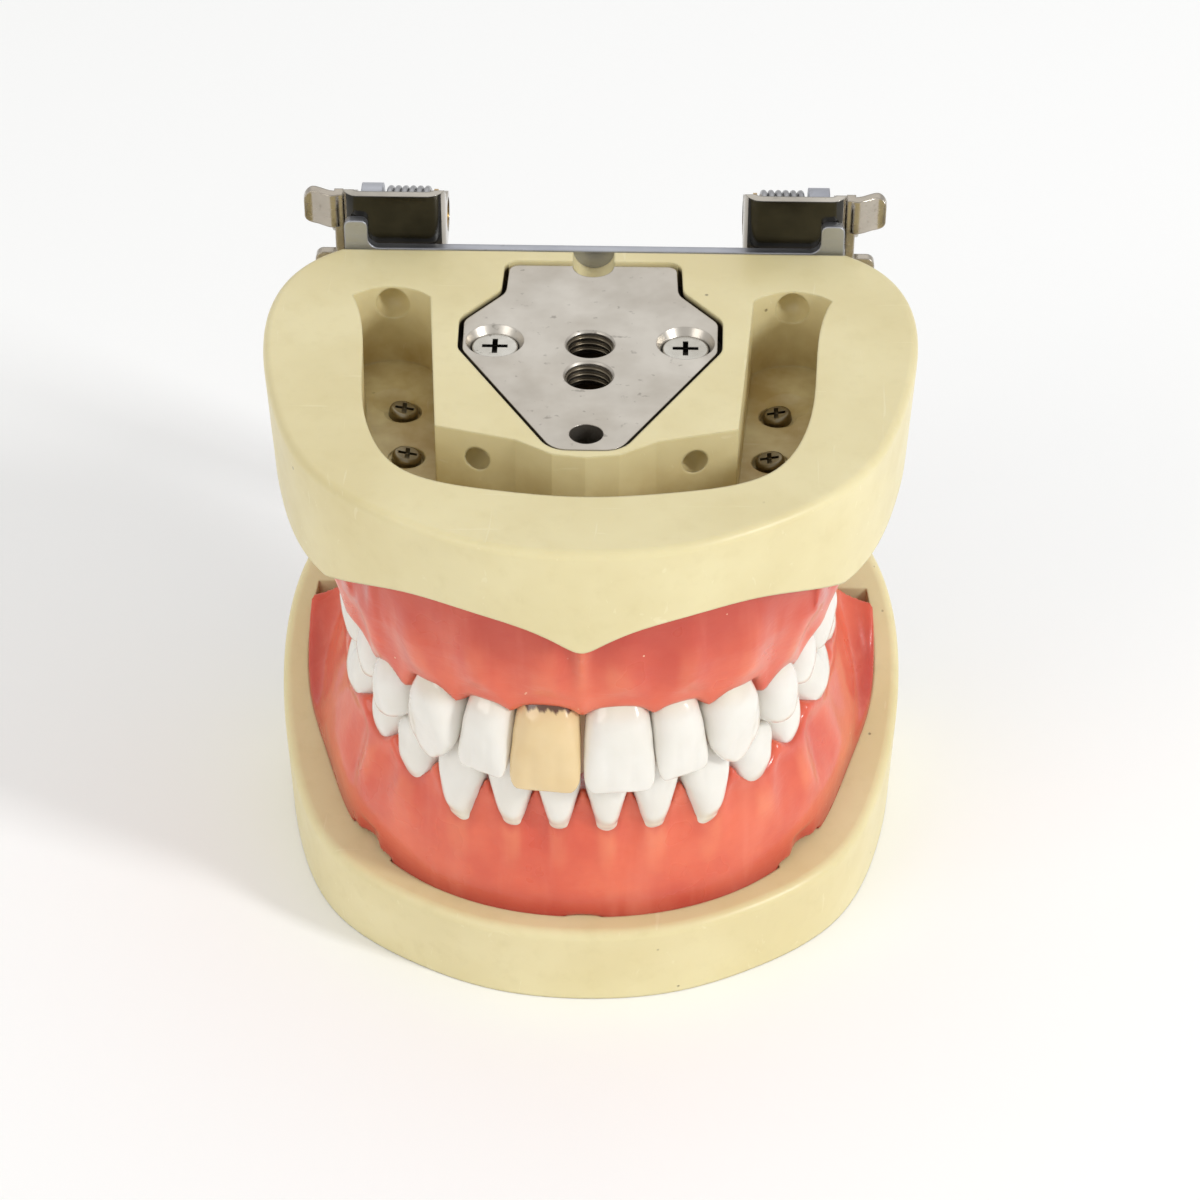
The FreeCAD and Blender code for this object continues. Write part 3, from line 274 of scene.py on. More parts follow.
def gum_material(name):
    """Pink silicone: deeper red where shade is painted by the mesh's shade attribute, lighter over the
    roots by its pale, partly thinner gum and partly a painted highlight.
    """
    m = Maker(name)
    gum_shade, pale = m.attribute("gum_shade"), m.attribute("pale")
    cloud = m.noise(95.0, 4.0, 0.55)
    colour = m.mix(m.ramp(cloud, (0.33, 0.0), (0.70, 1.0)), rgb(212, 86, 62), rgb(230, 112, 80))
    # painted shade: deeper red in the sulcus, under the cream wall and next to the teeth
    colour = m.mix(m.math("MULTIPLY", gum_shade, 0.68, True), colour, rgb(160, 36, 38))
    # lighter over the roots: partly paler thin gum, partly a painted highlight on the root ridges
    colour = m.mix(m.math("MULTIPLY", pale, 0.42, True), colour, rgb(240, 150, 108))
    streaks = m.noise(70.0, 3.0, 0.5, m.stretch(3.2, 3.2, 0.6), 0.4)
    colour = m.mix(m.ramp(streaks, (0.56, 0.0), (0.76, 0.22)), colour, rgb(240, 150, 124))
    speck = m.ramp(m.cells(520.0), (0.045, 1.0), (0.07, 0.0))
    speck = m.math("MULTIPLY", speck, m.ramp(m.noise(210.0, 1.0), (0.62, 0.0), (0.66, 1.0)))
    colour = m.mix(m.math("MULTIPLY", speck, 0.8), colour, rgb(250, 226, 190))
    fine = m.noise(800.0, 3.0, 0.6)
    wrinkle = m.noise(330.0, 4.0, 0.62, m.stretch(1.0, 1.0, 2.2), 0.8)
    height = m.math("ADD", m.math("MULTIPLY", cloud, 1.2), m.math("MULTIPLY", wrinkle, 0.45))
    height = m.math("ADD", height, m.math("MULTIPLY", fine, 0.10))
    normal = m.bump(height, 0.34, 0.0004)
    rough = m.ramp(m.noise(120.0, 3.0), (0.30, 0.24), (0.72, 0.40))
    m.set(colour=colour, rough=rough, normal=normal, sss=0.30, sss_scale=0.0030, coat=0.45, coat_rough=0.10)
    m.set(sss_radius=(1.0, 0.30, 0.16), specular=0.32)
    return m.material


def tooth_material(name, base, neck, edge, glow):
    m = Maker(name)
    cloud = m.noise(140.0, 3.0, 0.5)
    colour = m.mix(m.ramp(cloud, (0.35, 0.0), (0.68, 0.6)), base, edge)
    colour = m.mix(m.math("MULTIPLY", m.attribute("neck"), 0.5, True), colour, neck)
    # painted shade: dark brown in the gap at the tan tooth's neck
    colour = m.mix(m.attribute("neck_gap_shade"), colour, rgb(92, 58, 38))
    rings = m.noise(600.0, 2.0, 0.5, m.stretch(0.5, 0.5, 3.0))
    height = m.math("ADD", m.math("MULTIPLY", cloud, 1.0), m.math("MULTIPLY", rings, 0.20))
    normal = m.bump(height, 0.22, 0.0003)
    rough = m.ramp(m.noise(260.0, 2.0), (0.3, 0.14), (0.7, 0.24))
    m.set(colour=colour, rough=rough, normal=normal, sss=glow, sss_scale=0.0016, coat=0.55, coat_rough=0.07)
    m.set(sss_radius=(1.0, 0.9, 0.75), specular=0.55)
    return m.material


def metal(name, colour, dark, rough, scratches, edge_radius, streak=(1.0, 20.0, 1.0), grime=0.0):
    m = Maker(name)
    cloud = m.noise(90.0, 4.0, 0.6)
    shade = m.mix(m.ramp(cloud, (0.35, 0.0), (0.70, 1.0)), colour, dark)
    hair = m.noise(130.0, 3.0, 0.6, m.stretch(*streak), 0.2)
    cross = m.noise(90.0, 2.0, 0.6, m.stretch(9.0, 1.0, 9.0), 1.2)
    spots = m.ramp(m.noise(900.0, 2.0), (0.66, 0.0), (0.74, 1.0))
    shade = m.mix(m.math("MULTIPLY", spots, grime), shade, rgb(70, 62, 50))
    height = m.math("ADD", m.math("MULTIPLY", hair, 1.0), m.math("MULTIPLY", cross, 0.6))
    normal = m.bump(height, scratches, 0.00006, m.soft_edges(edge_radius))
    gloss = m.ramp(hair, (0.30, max(rough - 0.07, 0.04)), (0.72, rough + 0.10))
    m.set(colour=shade, metal=1.0, rough=gloss, normal=normal)
    return m


def darken_below(m, height):
    """Painted shade: dark in everything below a height in metres."""
    recess_shade = m.math("MULTIPLY", m.slope(m.split()[2], height, height - 0.0002), 0.93)
    colour = m.shader.inputs["Base Color"].links[0].from_socket
    m.set(colour=m.mix(recess_shade, colour, rgb(30, 26, 20)))


RESIN = cream_resin("cream_resin", rgb(228, 216, 170), rgb(220, 206, 156), 0.0004).material
UPPER_RESIN = cream_resin("upper_resin", rgb(225, 213, 167), rgb(216, 202, 153), 0.0004)
# adds painted shade in the channels and round the mounting plate
UPPER_RESIN = paint_channel_shade(UPPER_RESIN).material
GUM = gum_material("pink_silicone")
WHITE = tooth_material("white_tooth", rgb(227, 223, 213), rgb(220, 207, 178), rgb(236, 233, 226), 0.14)
TAN = tooth_material("tan_tooth", rgb(222, 194, 143), rgb(200, 170, 118), rgb(230, 208, 164), 0.12)
# how far the hairlines of a metal are stretched along each axis
EVEN, FINE, HEAD = (1.0, 1.0, 1.0), (4.0, 4.0, 4.0), (6.0, 6.0, 1.0)
PLATE = metal("nickel_steel_plate", rgb(206, 200, 190), rgb(182, 174, 162), 0.36, 0.30, 0.0002, EVEN, 0.35)
THREAD = metal("thread_steel", rgb(128, 120, 106), rgb(92, 82, 66), 0.34, 0.30, 0.0001, EVEN, 0.5)
PLATE_SCREW = metal("plate_screw", rgb(205, 202, 194), rgb(168, 162, 150), 0.24, 0.25, 0.0001, HEAD, 0.5)
# painted shade in the plate screws' cross recesses, below the top of the heads
PLATE_SCREW_SHADE_TOP = 0.06888
darken_below(PLATE_SCREW, PLATE_SCREW_SHADE_TOP)
SCREW = metal("zinc_screw", rgb(205, 202, 194), rgb(168, 162, 150), 0.24, 0.25, 0.0001, HEAD, 0.5)
# painted shade: a darker copy of the zinc screw, for the tooth screws down in the channels
CHANNEL_SHADED_SCREW = metal("channel_shaded_screw", rgb(150, 140, 118), rgb(110, 98, 76), 0.32, 0.3, 0.0001, HEAD, 0.6)
ALUMINIUM = metal(
    "aluminium", rgb(190, 192, 198), rgb(170, 172, 180), 0.42, 0.45, 0.0003, (0.6, 14.0, 14.0), 0.15
)
LEVER = metal(
    "warm_nickel", rgb(190, 182, 169), rgb(158, 149, 136), 0.22, 0.25, 0.0003, (3.0, 3.0, 16.0), 0.2
)
SPRING = metal("spring_steel", rgb(176, 176, 178), rgb(140, 140, 142), 0.28, 0.2, 0.0001, FINE, 0.2)
BRASS = metal("brass", rgb(196, 160, 92), rgb(160, 124, 66), 0.30, 0.25, 0.0001, (10.0, 1.0, 1.0), 0.2)


def bracket_material():
    """Bright bent steel whose front-facing faces carry a painted dark reflection, brownish at the bottom
    with a painted reflection of the cream base.
    """
    bright_steel, shade, along = rgb(190, 184, 174), rgb(150, 144, 134), (2.0, 2.0, 10.0)
    m = metal("bracket_steel", bright_steel, shade, 0.16, 0.18, 0.0003, along, 0.15)
    facing = m.node("ShaderNodeSeparateXYZ")
    m.link(m.node("ShaderNodeNewGeometry").outputs["Normal"], facing.inputs[0])
    front = m.math("LESS_THAN", facing.outputs["Y"], -0.62)
    bright = m.shader.inputs["Base Color"].links[0].from_socket
    # painted reflection: dark on the faces that look to the front
    dark_reflection = m.ramp(m.noise(160.0, 3.0), (0.3, rgb(50, 49, 46)), (0.7, rgb(72, 70, 65)))
    # painted reflection of the cream base, brownish along the bottom of the leaf
    cream_reflection = m.slope(m.split()[2], 0.0702, 0.0686)
    dark_reflection = m.mix(cream_reflection, dark_reflection, rgb(104, 90, 66))
    m.set(colour=m.mix(front, bright, dark_reflection))
    return m


BRACKET = bracket_material()


def dress(node, material):
    """Gives a CAD node its one material."""
    slots = NODES[node].data.materials
    slots.clear()
    slots.append(material)


dress("upper_base", UPPER_RESIN)
dress("lower_base", RESIN)
METAL_NODES = {
    "mounting_plate": PLATE,
    "mounting_plate_screws": PLATE_SCREW,
    "upper_tooth_screws": CHANNEL_SHADED_SCREW,
    "lower_tooth_screws": CHANNEL_SHADED_SCREW,
    "upper_hinge_plate": ALUMINIUM,
    "lower_hinge_frame": ALUMINIUM,
    "upper_hinge_plate_screws": SCREW,
    "lower_hinge_frame_screws": SCREW,
    "bracket_rivets": SCREW,
}
for side in ("right", "left"):
    METAL_NODES[side + "_hinge_bracket"] = BRACKET
    METAL_NODES[side + "_hinge_pin"] = SCREW
    METAL_NODES[side + "_hinge_bush"] = BRASS
    METAL_NODES[side + "_hinge_spring"] = SPRING
    METAL_NODES[side + "_release_lever"] = LEVER
for node, made in METAL_NODES.items():
    dress(node, made.material)


# ---------------------------------------------------------------- solid modelling on a grid
def nets(field, origin, step):
    """The surface where a grid of signed distances changes sign, as points and quads."""
    inside = field < 0
    cells = np.zeros(tuple(n - 1 for n in field.shape), np.int8)
    corners = [(i, j, k) for i in (0, 1) for j in (0, 1) for k in (0, 1)]
    a, b, c = cells.shape
    for i, j, k in corners:
        cells += inside[i : i + a, j : j + b, k : k + c]
    active = (cells > 0) & (cells < 8)
    index = np.argwhere(active)
    number = np.full(cells.shape, -1, np.int64)
    number[active] = np.arange(len(index))
    total, count = np.zeros((len(index), 3)), np.zeros(len(index))
    for corner in corners:
        for axis in range(3):
            if corner[axis]:
                continue
            other = list(corner)
            other[axis] = 1
            fa = field[tuple((index + corner).T)]
            fb = field[tuple((index + other).T)]
            cross = (fa < 0) != (fb < 0)
            t = fa[cross] / (fa[cross] - fb[cross])
            point = np.tile(np.array(corner, float), (cross.sum(), 1))
            point[:, axis] += t
            total[cross] += point
            count[cross] += 1
    points = np.asarray(origin) + (index + total / count[:, None]) * step
    quads = []
    for axis in range(3):
        one, two = (axis + 1) % 3, (axis + 2) % 3
        low = [slice(None)] * 3
        high = [slice(None)] * 3
        low[axis], high[axis] = slice(0, -1), slice(1, None)
        first = inside[tuple(low)]
        edge = np.argwhere(first != inside[tuple(high)])
        keep = (edge[:, one] > 0) & (edge[:, two] > 0)
        keep &= (edge[:, one] < cells.shape[one]) & (edge[:, two] < cells.shape[two])
        edge = edge[keep]
        e1, e2 = np.eye(3, dtype=int)[one], np.eye(3, dtype=int)[two]
        ring = [number[tuple((edge - s).T)] for s in (e1 + e2, e2, 0 * e1, e1)]
        quad = np.stack(ring, 1)
        outward = first[tuple(edge.T)]
        quad[~outward] = quad[~outward][:, ::-1]
        quads.append(quad)
    return points, np.vstack(quads)


def smooth_max(a, b, k):
    h = np.clip(0.5 - 0.5 * (b - a) / k, 0.0, 1.0)
    return b * (1 - h) + a * h + k * h * (1 - h)


def smooth_min(a, b, k):
    return -smooth_max(-a, -b, k)


def ramp(x, low, high):
    t = np.clip((x - low) / (high - low), 0.0, 1.0)
    return t * t * (3 - 2 * t)


def wave_noise(x, y, z, scale, seed, count=7):
    """Smooth uneven waves, the same on every run."""
    turn = np.random.default_rng(seed)
    total = np.zeros(np.broadcast(x, y, z).shape)
    for _ in range(count):
        d = turn.normal(size=3)
        d *= turn.uniform(0.6, 1.5) * 2 * math.pi / scale / np.linalg.norm(d)
        total += np.sin(d[0] * x + d[1] * y + d[2] * z + turn.uniform(0, 6.28))
    return total / math.sqrt(count)


def relax(points, quads, rounds, share=0.5):
    """Evens out the points of a quad mesh."""
    edges = np.vstack([quads[:, [0, 1]], quads[:, [1, 2]], quads[:, [2, 3]], quads[:, [3, 0]]])
    edges = np.unique(np.sort(edges, 1), axis=0)
    count = np.bincount(edges.ravel(), minlength=len(points)).astype(float)[:, None]
    for _ in range(rounds):
        total = np.zeros_like(points)
        for axis in range(3):
            total[:, axis] = np.bincount(edges[:, 0], points[edges[:, 1], axis], len(points))
            total[:, axis] += np.bincount(edges[:, 1], points[edges[:, 0], axis], len(points))
        points = points + share * (total / count - points)
    return points


def add_mesh(name, points, quads, material, body, replaced=(), values=None):
    mesh = bpy.data.meshes.new(name)
    mesh.vertices.add(len(points))
    mesh.vertices.foreach_set("co", (points * MM).astype(np.float32).ravel())
    mesh.loops.add(quads.size)
    mesh.loops.foreach_set("vertex_index", quads.astype(np.int32).ravel())
    mesh.polygons.add(len(quads))
    mesh.polygons.foreach_set("loop_start", np.arange(0, quads.size, 4, dtype=np.int32))
    mesh.polygons.foreach_set("loop_total", np.full(len(quads), 4, np.int32))
    mesh.polygons.foreach_set("use_smooth", np.ones(len(quads), bool))
    mesh.update(calc_edges=True)
    mesh.validate()
    for key, data in (values or {}).items():
        layer = mesh.attributes.new(key, "FLOAT", "POINT")
        layer.data.foreach_set("value", data.astype(np.float32))
    mesh.materials.append(material)
    obj = bpy.data.objects.new(name, mesh)
    scene.collection.objects.link(obj)
    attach(obj, body)
    if replaced:
        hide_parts(*replaced)


# ---------------------------------------------------------------- teeth
ARCH_CENTRE_Y, ARCH_POWER = 19.0, 2.5
NAMES = (
    "central_incisor", "lateral_incisor", "canine",
    "first_premolar", "second_premolar", "first_molar", "second_molar",
)
KINDS = ("incisor", "incisor", "canine", "premolar", "premolar", "molar", "molar")
# width along the arch, depth across it, crown height, tilt, height of the tip, step out of the arch
JAWS = {
    "upper": {
        "arch": (27.3, 47.8),
        "up": -1.0,
        "teeth": (
            (8.7, 6.7, 10.9, 24, 33.0, 0.0),
            (6.9, 6.2, 9.6, 22, 33.9, 0.0),
            (7.9, 7.6, 10.4, 16, 32.8, 0.8),
            (7.1, 8.6, 8.4, 11, 33.6, 0.3),
            (6.9, 8.6, 8.0, 10, 33.9, 0.0),
            (10.3, 10.4, 7.6, 11, 34.1, 0.0),
            (9.6, 10.0, 7.2, 11, 34.3, 0.0),
        ),
    },
    "lower": {
        "arch": (26.0, 45.0),
        "up": 1.0,
        "teeth": (
            (5.6, 6.0, 9.2, 14, 35.0, 0.0),
            (6.1, 6.2, 9.4, 13, 35.0, 0.0),
            (6.9, 7.2, 10.4, 9, 35.4, 0.4),
            (7.1, 7.4, 8.6, 3, 34.8, 0.0),
            (7.2, 7.8, 8.2, 0, 34.6, 0.0),
            (10.8, 9.8, 7.8, -5, 34.5, 0.0),
            (10.2, 9.4, 7.4, -6, 34.4, 0.0),
        ),
    },
}
SECTIONS = {
    # share of the crown's height, half width, facial half depth, lingual half depth
    "incisor": (
        (0.00, 0.380, 0.40, 0.42),
        (0.15, 0.420, 0.45, 0.45),
        (0.40, 0.465, 0.41, 0.28),
        (0.70, 0.490, 0.26, 0.12),
        (0.90, 0.470, 0.14, 0.08),
        (1.00, 0.405, 0.06, 0.02),
    ),
    "canine": (
        (0.00, 0.380, 0.40, 0.42),
        (0.15, 0.430, 0.45, 0.45),
        (0.40, 0.480, 0.41, 0.32),
        (0.65, 0.490, 0.27, 0.17),
        (0.88, 0.300, 0.13, 0.09),
        (1.00, 0.100, 0.04, 0.03),
    ),
    "premolar": (
        (0.00, 0.390, 0.40, 0.40),
        (0.25, 0.450, 0.48, 0.46),
        (0.55, 0.490, 0.47, 0.48),
        (0.85, 0.480, 0.38, 0.42),
        (1.10, 0.440, 0.31, 0.36),
    ),
    "molar": (
        (0.00, 0.420, 0.41, 0.41),
        (0.25, 0.460, 0.49, 0.46),
        (0.55, 0.493, 0.47, 0.48),
        (0.85, 0.485, 0.39, 0.43),
        (1.10, 0.460, 0.34, 0.38),
    ),
}
CUSPS = {
    "premolar": ((0.0, 0.23, 0.0), (0.0, -0.25, 0.6)),
    "molar": ((-0.22, 0.24, 0.0), (0.22, 0.24, 0.1), (-0.22, -0.25, 0.3), (0.22, -0.25, 0.4)),
}
CONTACT_GAP, ROOT_LENGTH, CUSP_RISE = 0.25, 8.0, 1.5


def tooth_frames(jaw):
    """Where each tooth of the +X side stands: its neck and its three directions."""
    a, b = jaw["arch"]
    angle = np.linspace(math.pi / 2, 0, 601)
    x = a * np.cos(angle) ** (2 / ARCH_POWER)
    y = ARCH_CENTRE_Y - b * np.sin(angle) ** (2 / ARCH_POWER)
    x[0] = 0.0
    walked = np.concatenate([[0], np.cumsum(np.hypot(np.diff(x), np.diff(y)))])
    frames, reach = [], 0.0
    for width, depth, height, tilt, tip_z, step in jaw["teeth"]:
        i = int(np.searchsorted(walked, reach + width / 2))
        reach += width
        i = min(max(i, 1), len(x) - 2)
        along = np.array([x[i + 1] - x[i - 1], y[i + 1] - y[i - 1], 0.0])
        along /= np.linalg.norm(along)
        outward = np.array([along[1], -along[0], 0.0])
        up = np.array([0, 0, jaw["up"]])
        t = math.radians(tilt)
        axis = up * math.cos(t) + outward * math.sin(t)
        facial = outward * math.cos(t) - up * math.sin(t)
        tip = np.array([x[i], y[i], tip_z]) + outward * step
        frames.append({
            "neck": tip - axis * height, "axis": axis, "facial": facial, "along": np.cross(facial, axis),
            "width": width - CONTACT_GAP, "depth": depth, "height": height,
        })
    for tooth, kind in zip(frames, KINDS):
        tooth["kind"], tooth["upper"] = kind, jaw["up"] < 0
    return frames


def section_table(kind):
    """The crown's sections as fine smooth columns, from just below the neck to the tip."""
    rows = np.array(SECTIONS[kind])
    share = np.linspace(-0.02, rows[-1, 0], 240)
    knots = rows[:, 0]
    out = [share]
    for column in range(1, 4):
        v = rows[:, column]
        slope = np.gradient(v, knots)
        i = np.clip(np.searchsorted(knots, share) - 1, 0, len(knots) - 2)
        h = knots[i + 1] - knots[i]
        t = np.clip((share - knots[i]) / h, 0, 1)
        value = (2 * t**3 - 3 * t**2 + 1) * v[i] + (t**3 - 2 * t**2 + t) * h * slope[i]
        value += (3 * t**2 - 2 * t**3) * v[i + 1] + (t**3 - t**2) * h * slope[i + 1]
        out.append(value)
    return out


TABLES = {kind: section_table(kind) for kind in SECTIONS}


def tooth_distance(tooth, u, v, w, detail=True):
    """Roughly how far a point is from a tooth's surface, in the tooth's own directions; negative inside."""
    kind, width, depth, height = tooth["kind"], tooth["width"], tooth["depth"], tooth["height"]
    share, half, face, tongue = TABLES[kind]
    s = w / height
    below = np.clip(-w / ROOT_LENGTH, 0, 1.2)
    root = ramp(-w, 0.0, 1.2)
    half_width = np.interp(s, share, half) * width
    if tooth["upper"] and kind in ("incisor", "canine"):
        half_width = half_width * (1 + 0.05 * (1 - ramp(s, 0.0, 0.55)))
    if not tooth["upper"] and kind in ("incisor", "canine"):
        half_width = half_width * (1 - 0.24 * (1 - ramp(s, 0.05, 0.75)))
    flat = 0.93 if kind in CUSPS else 1.0
    reach_f = np.interp(s, share, face) * depth * flat
    reach_t = np.interp(s, share, tongue) * depth
    half_width = half_width * (1 - root) + root * 0.36 * width * (1 - 0.28 * below)
    reach_f = reach_f * (1 - root) + root * 0.37 * depth * (1 - 0.28 * below)
    reach_t = reach_t * (1 - root) + root * 0.37 * depth * (1 - 0.28 * below)
    reach = np.maximum(np.where(v > 0, reach_f, reach_t), 0.25)
    power = 2.38
    p, q = np.abs(u) / half_width, np.abs(v) / reach
    r = np.maximum((p**power + q**power) ** (1 / power), 1e-6)
    slope = np.hypot((p / r) ** (power - 1) / half_width, (q / r) ** (power - 1) / reach)
    d = (r - 1) / np.maximum(slope, 1.0 / np.maximum(half_width, reach))
    if detail and kind in ("incisor", "canine"):
        mark = 0.17 if kind == "incisor" else 0.22
        lobes = np.exp(-(((np.abs(u) / width) - mark) / 0.07) ** 2) * ramp(s, 0.25, 0.75) * (v > 0)
        d = d + 0.10 * lobes
    if kind in CUSPS:
        slope_c = 4.4 * CUSP_RISE / depth
        best = []
        for along, across, drop in CUSPS[kind]:
            away = np.hypot((u - along * width) * 0.95, (v - across * depth) * 0.95)
            best.append(np.exp(2.6 * (height - drop - slope_c * (np.hypot(away, 0.9) - 0.9) - height)))
        roof = height + np.log(sum(best)) / 2.6 - 0.25
        if detail:
            middle = 0.30 * np.exp(-((v / depth + 0.02) / 0.05) ** 2)
            roof = roof - middle * np.exp(-(((u / width) / 0.34) ** 4))
            if kind == "molar":
                roof = roof - 0.30 * np.exp(-((u / width) / 0.05) ** 2)
                d = d + 0.22 * np.exp(-((u / width) / 0.06) ** 2) * ramp(s, 0.30, 0.85)
        d = smooth_max(d, (w - roof) * 0.80, 0.8)
    else:
        d = smooth_max(d, w - height, 0.5)
    return smooth_max(d, -ROOT_LENGTH - w, 0.5)


def local(tooth, x, y, z):
    """A point's place in a tooth's own directions."""
    dx, dy, dz = x - tooth["neck"][0], y - tooth["neck"][1], z - tooth["neck"][2]
    return [d[0] * dx + d[1] * dy + d[2] * dz for d in (tooth["along"], tooth["facial"], tooth["axis"])]


def mirrored(tooth):
    flip = np.array([-1.0, 1.0, 1.0])
    other = dict(tooth)
    for key in ("neck", "axis", "facial", "along"):
        other[key] = tooth[key] * flip
    return other


FRAMES = {jaw: tooth_frames(JAWS[jaw]) for jaw in JAWS}
TOOTH_STEP = 0.19


def make_tooth(jaw, place, tooth):
    width, depth, height = tooth["width"], tooth["depth"], tooth["height"]
    low = np.array([-0.56 * width, -0.56 * depth, -ROOT_LENGTH - 0.6])
    high = np.array([0.56 * width, 0.60 * depth, height + 0.6])
    axes = [np.arange(a, b, TOOTH_STEP) for a, b in zip(low, high)]
    u, v, w = np.meshgrid(*axes, indexing="ij")
    field = tooth_distance(tooth, u, v, w)
    field = field + 0.035 * wave_noise(u, v, w, 3.2, 11 + place)
    points, quads = nets(field, low, TOOTH_STEP)
    points = relax(points, quads, 3)
    neck = ramp(-points[:, 2], -0.22 * height, 0.6)
    spots = tooth["neck"] + points @ np.array([tooth["along"], tooth["facial"], tooth["axis"]])
    if np.dot(np.cross(tooth["along"], tooth["facial"]), tooth["axis"]) < 0:
        quads = quads[:, ::-1]
    for side, word in ((1, "left"), (-1, "right")):
        name = f"{jaw}_{word}_{NAMES[place]}"
        tan = name == "upper_right_central_incisor"
        where = spots if side > 0 else spots * (-1, 1, 1)
        faces = quads if side > 0 else quads[:, ::-1]
        neck_gap_shade = np.zeros(len(points))
        # painted shade of the gap along the tan tooth's neck, ragged along its width
        if tan:
            ragged = 0.35 + 0.20 * np.sin(points[:, 0] * 4.1) + 0.12 * np.sin(points[:, 0] * 9.7 + 1.0)
            middle = np.abs(points[:, 0] + 0.4) < 0.34 * width
            neck_gap_shade = (1 - ramp(points[:, 2], ragged, ragged + 0.35)) * middle
        values = {"neck": neck, "neck_gap_shade": neck_gap_shade}
        add_mesh(name + "_crown", where, faces, TAN if tan else WHITE, jaw + "_jaw", (name,), values)


for jaw in FRAMES:
    for place, tooth in enumerate(FRAMES[jaw]):
        make_tooth(jaw, place, tooth)


# ---------------------------------------------------------------- gingiva
REAR_Y = 29.5


def d_outline(front_y, half_width, inset, corner, squeeze=0.0):
    """The D-shaped plan of a base as a closed run of points; squeeze narrows it beside the canines."""
    w, f = half_width - inset, front_y + inset
    depth, corner = REAR_Y - f, corner - 0.5 * inset
    half = [
        (w - corner, REAR_Y),
        (w - 0.3 * corner, REAR_Y - 0.09 * depth),
        (w, REAR_Y - 0.34 * depth),
        ((0.955 - squeeze) * w, f + 0.49 * depth),
        ((0.79 - squeeze) * w, f + 0.235 * depth),
        (0.535 * w, f + 0.098 * depth),
        (0.29 * w, f + 0.025 * depth),
        (0.0, f),
    ]
    knots = np.array(half + [(-x, y) for x, y in reversed(half[:-1])])
    chord = np.concatenate([[0], np.cumsum(np.linalg.norm(np.diff(knots, axis=0), axis=1))])
    fine = np.linspace(0, chord[-1], 420)
    columns = []
    for axis in range(2):
        v = knots[:, axis]
        slope = np.gradient(v, chord)
        i = np.clip(np.searchsorted(chord, fine) - 1, 0, len(chord) - 2)
        h = chord[i + 1] - chord[i]
        t = (fine - chord[i]) / h
        value = (2 * t**3 - 3 * t**2 + 1) * v[i] + (t**3 - 2 * t**2 + t) * h * slope[i]
        value += (3 * t**2 - 2 * t**3) * v[i + 1] + (t**3 - t**2) * h * slope[i + 1]
        columns.append(value)
    return np.stack(columns, 1)


def outline_distance(outline, x, y):
    """Signed distance in plan from a closed outline; negative inside."""
    shape = x.shape
    p = np.stack([x.ravel(), y.ravel()], 1)
    a, b = outline, np.roll(outline, -1, axis=0)
    best = np.full(len(p), 1e9)
    inside = np.zeros(len(p), bool)
    for (ax, ay), (bx, by) in zip(a, b):
        ex, ey = bx - ax, by - ay
        size = ex * ex + ey * ey
        if size < 1e-12:
            continue
        t = np.clip(((p[:, 0] - ax) * ex + (p[:, 1] - ay) * ey) / size, 0, 1)
        best = np.minimum(best, (p[:, 0] - ax - t * ex) ** 2 + (p[:, 1] - ay - t * ey) ** 2)
        crosses = (ay > p[:, 1]) != (by > p[:, 1])
        if ey:
            inside ^= crosses & (p[:, 0] < ax + (p[:, 1] - ay) * ex / ey)
    return (np.sqrt(best) * np.where(inside, -1, 1)).reshape(shape)


def arch_distance(x, y, a, b):
    """Signed distance in plan from a dental arch of a half width and a reach."""
    p = np.abs(x) / a
    q = np.maximum(ARCH_CENTRE_Y - y, 0.0) / b
    r = np.maximum((p**ARCH_POWER + q**ARCH_POWER) ** (1 / ARCH_POWER), 1e-6)
    slope = np.hypot((p / r) ** (ARCH_POWER - 1) / a, (q / r) ** (ARCH_POWER - 1) / b)
    return (r - 1) / np.maximum(slope, 0.6 / b)


def levels(z, table):
    """Half width and reach at a height, from a short table of half width, reach and height."""
    rows = sorted(table, key=lambda row: row[2])
    heights = [row[2] for row in rows]
    return np.interp(z, heights, [r[0] for r in rows]), np.interp(z, heights, [r[1] for r in rows])


# how far the gum's margin climbs between teeth as a share of the crown, how sharply, and its cover in mm
FRONT_MARGIN = {"upper": (0.15, 3.0, 0.0), "lower": (0.56, 1.35, -0.2)}
BACK_MARGIN = (0.24, 2.4, 0.9)


def gum_fields(jaw, x, y, z):
    """The height past the gum's margin, the distance from the nearest tooth, and how central on a root."""
    teeth = [t for tooth in FRAMES[jaw] for t in (tooth, mirrored(tooth))]
    past, weight, root = np.zeros(x.shape), np.full(x.shape, 1e-12), np.zeros(x.shape)
    near = np.full(x.shape, 30.0)
    for tooth in teeth:
        u, v, w = local(tooth, x, y, z)
        half = 0.5 * tooth["width"] + 0.1
        rise, bend, cover = BACK_MARGIN if tooth["kind"] in CUSPS else FRONT_MARGIN[jaw]
        s = np.abs(u) / half
        rise = rise * (1 - 0.45 * ramp(-v, 0.0, 0.3 * tooth["depth"]))
        margin = cover + rise * tooth["height"] * np.minimum(s, 1.15) ** bend
        share = np.exp(-5.0 * s * s) * np.exp(-((v / (0.9 * tooth["depth"] + 4)) ** 2))
        past += share * (w - margin)
        weight += share
        root += share * np.exp(-((s / 0.62) ** 2))
        close = (np.abs(u) < tooth["width"] + 3) & (np.abs(v) < tooth["depth"] + 4)
        if close.any():
            away = tooth_distance(tooth, u[close], v[close], w[close], False)
            near[close] = np.minimum(near[close], away)
    return past / weight, near, root / weight


def frenum(field, x, z, outer, place, width, low, high, out, sign):
    """A thin raised band of gum that runs up a wall, from nothing at low to its full height at high."""
    rise = ramp((z - low) * sign, 0.0, abs(high - low)) * out
    band = np.maximum(np.abs(x - place) - width, outer - rise)
    return smooth_min(field, band, 1.3)


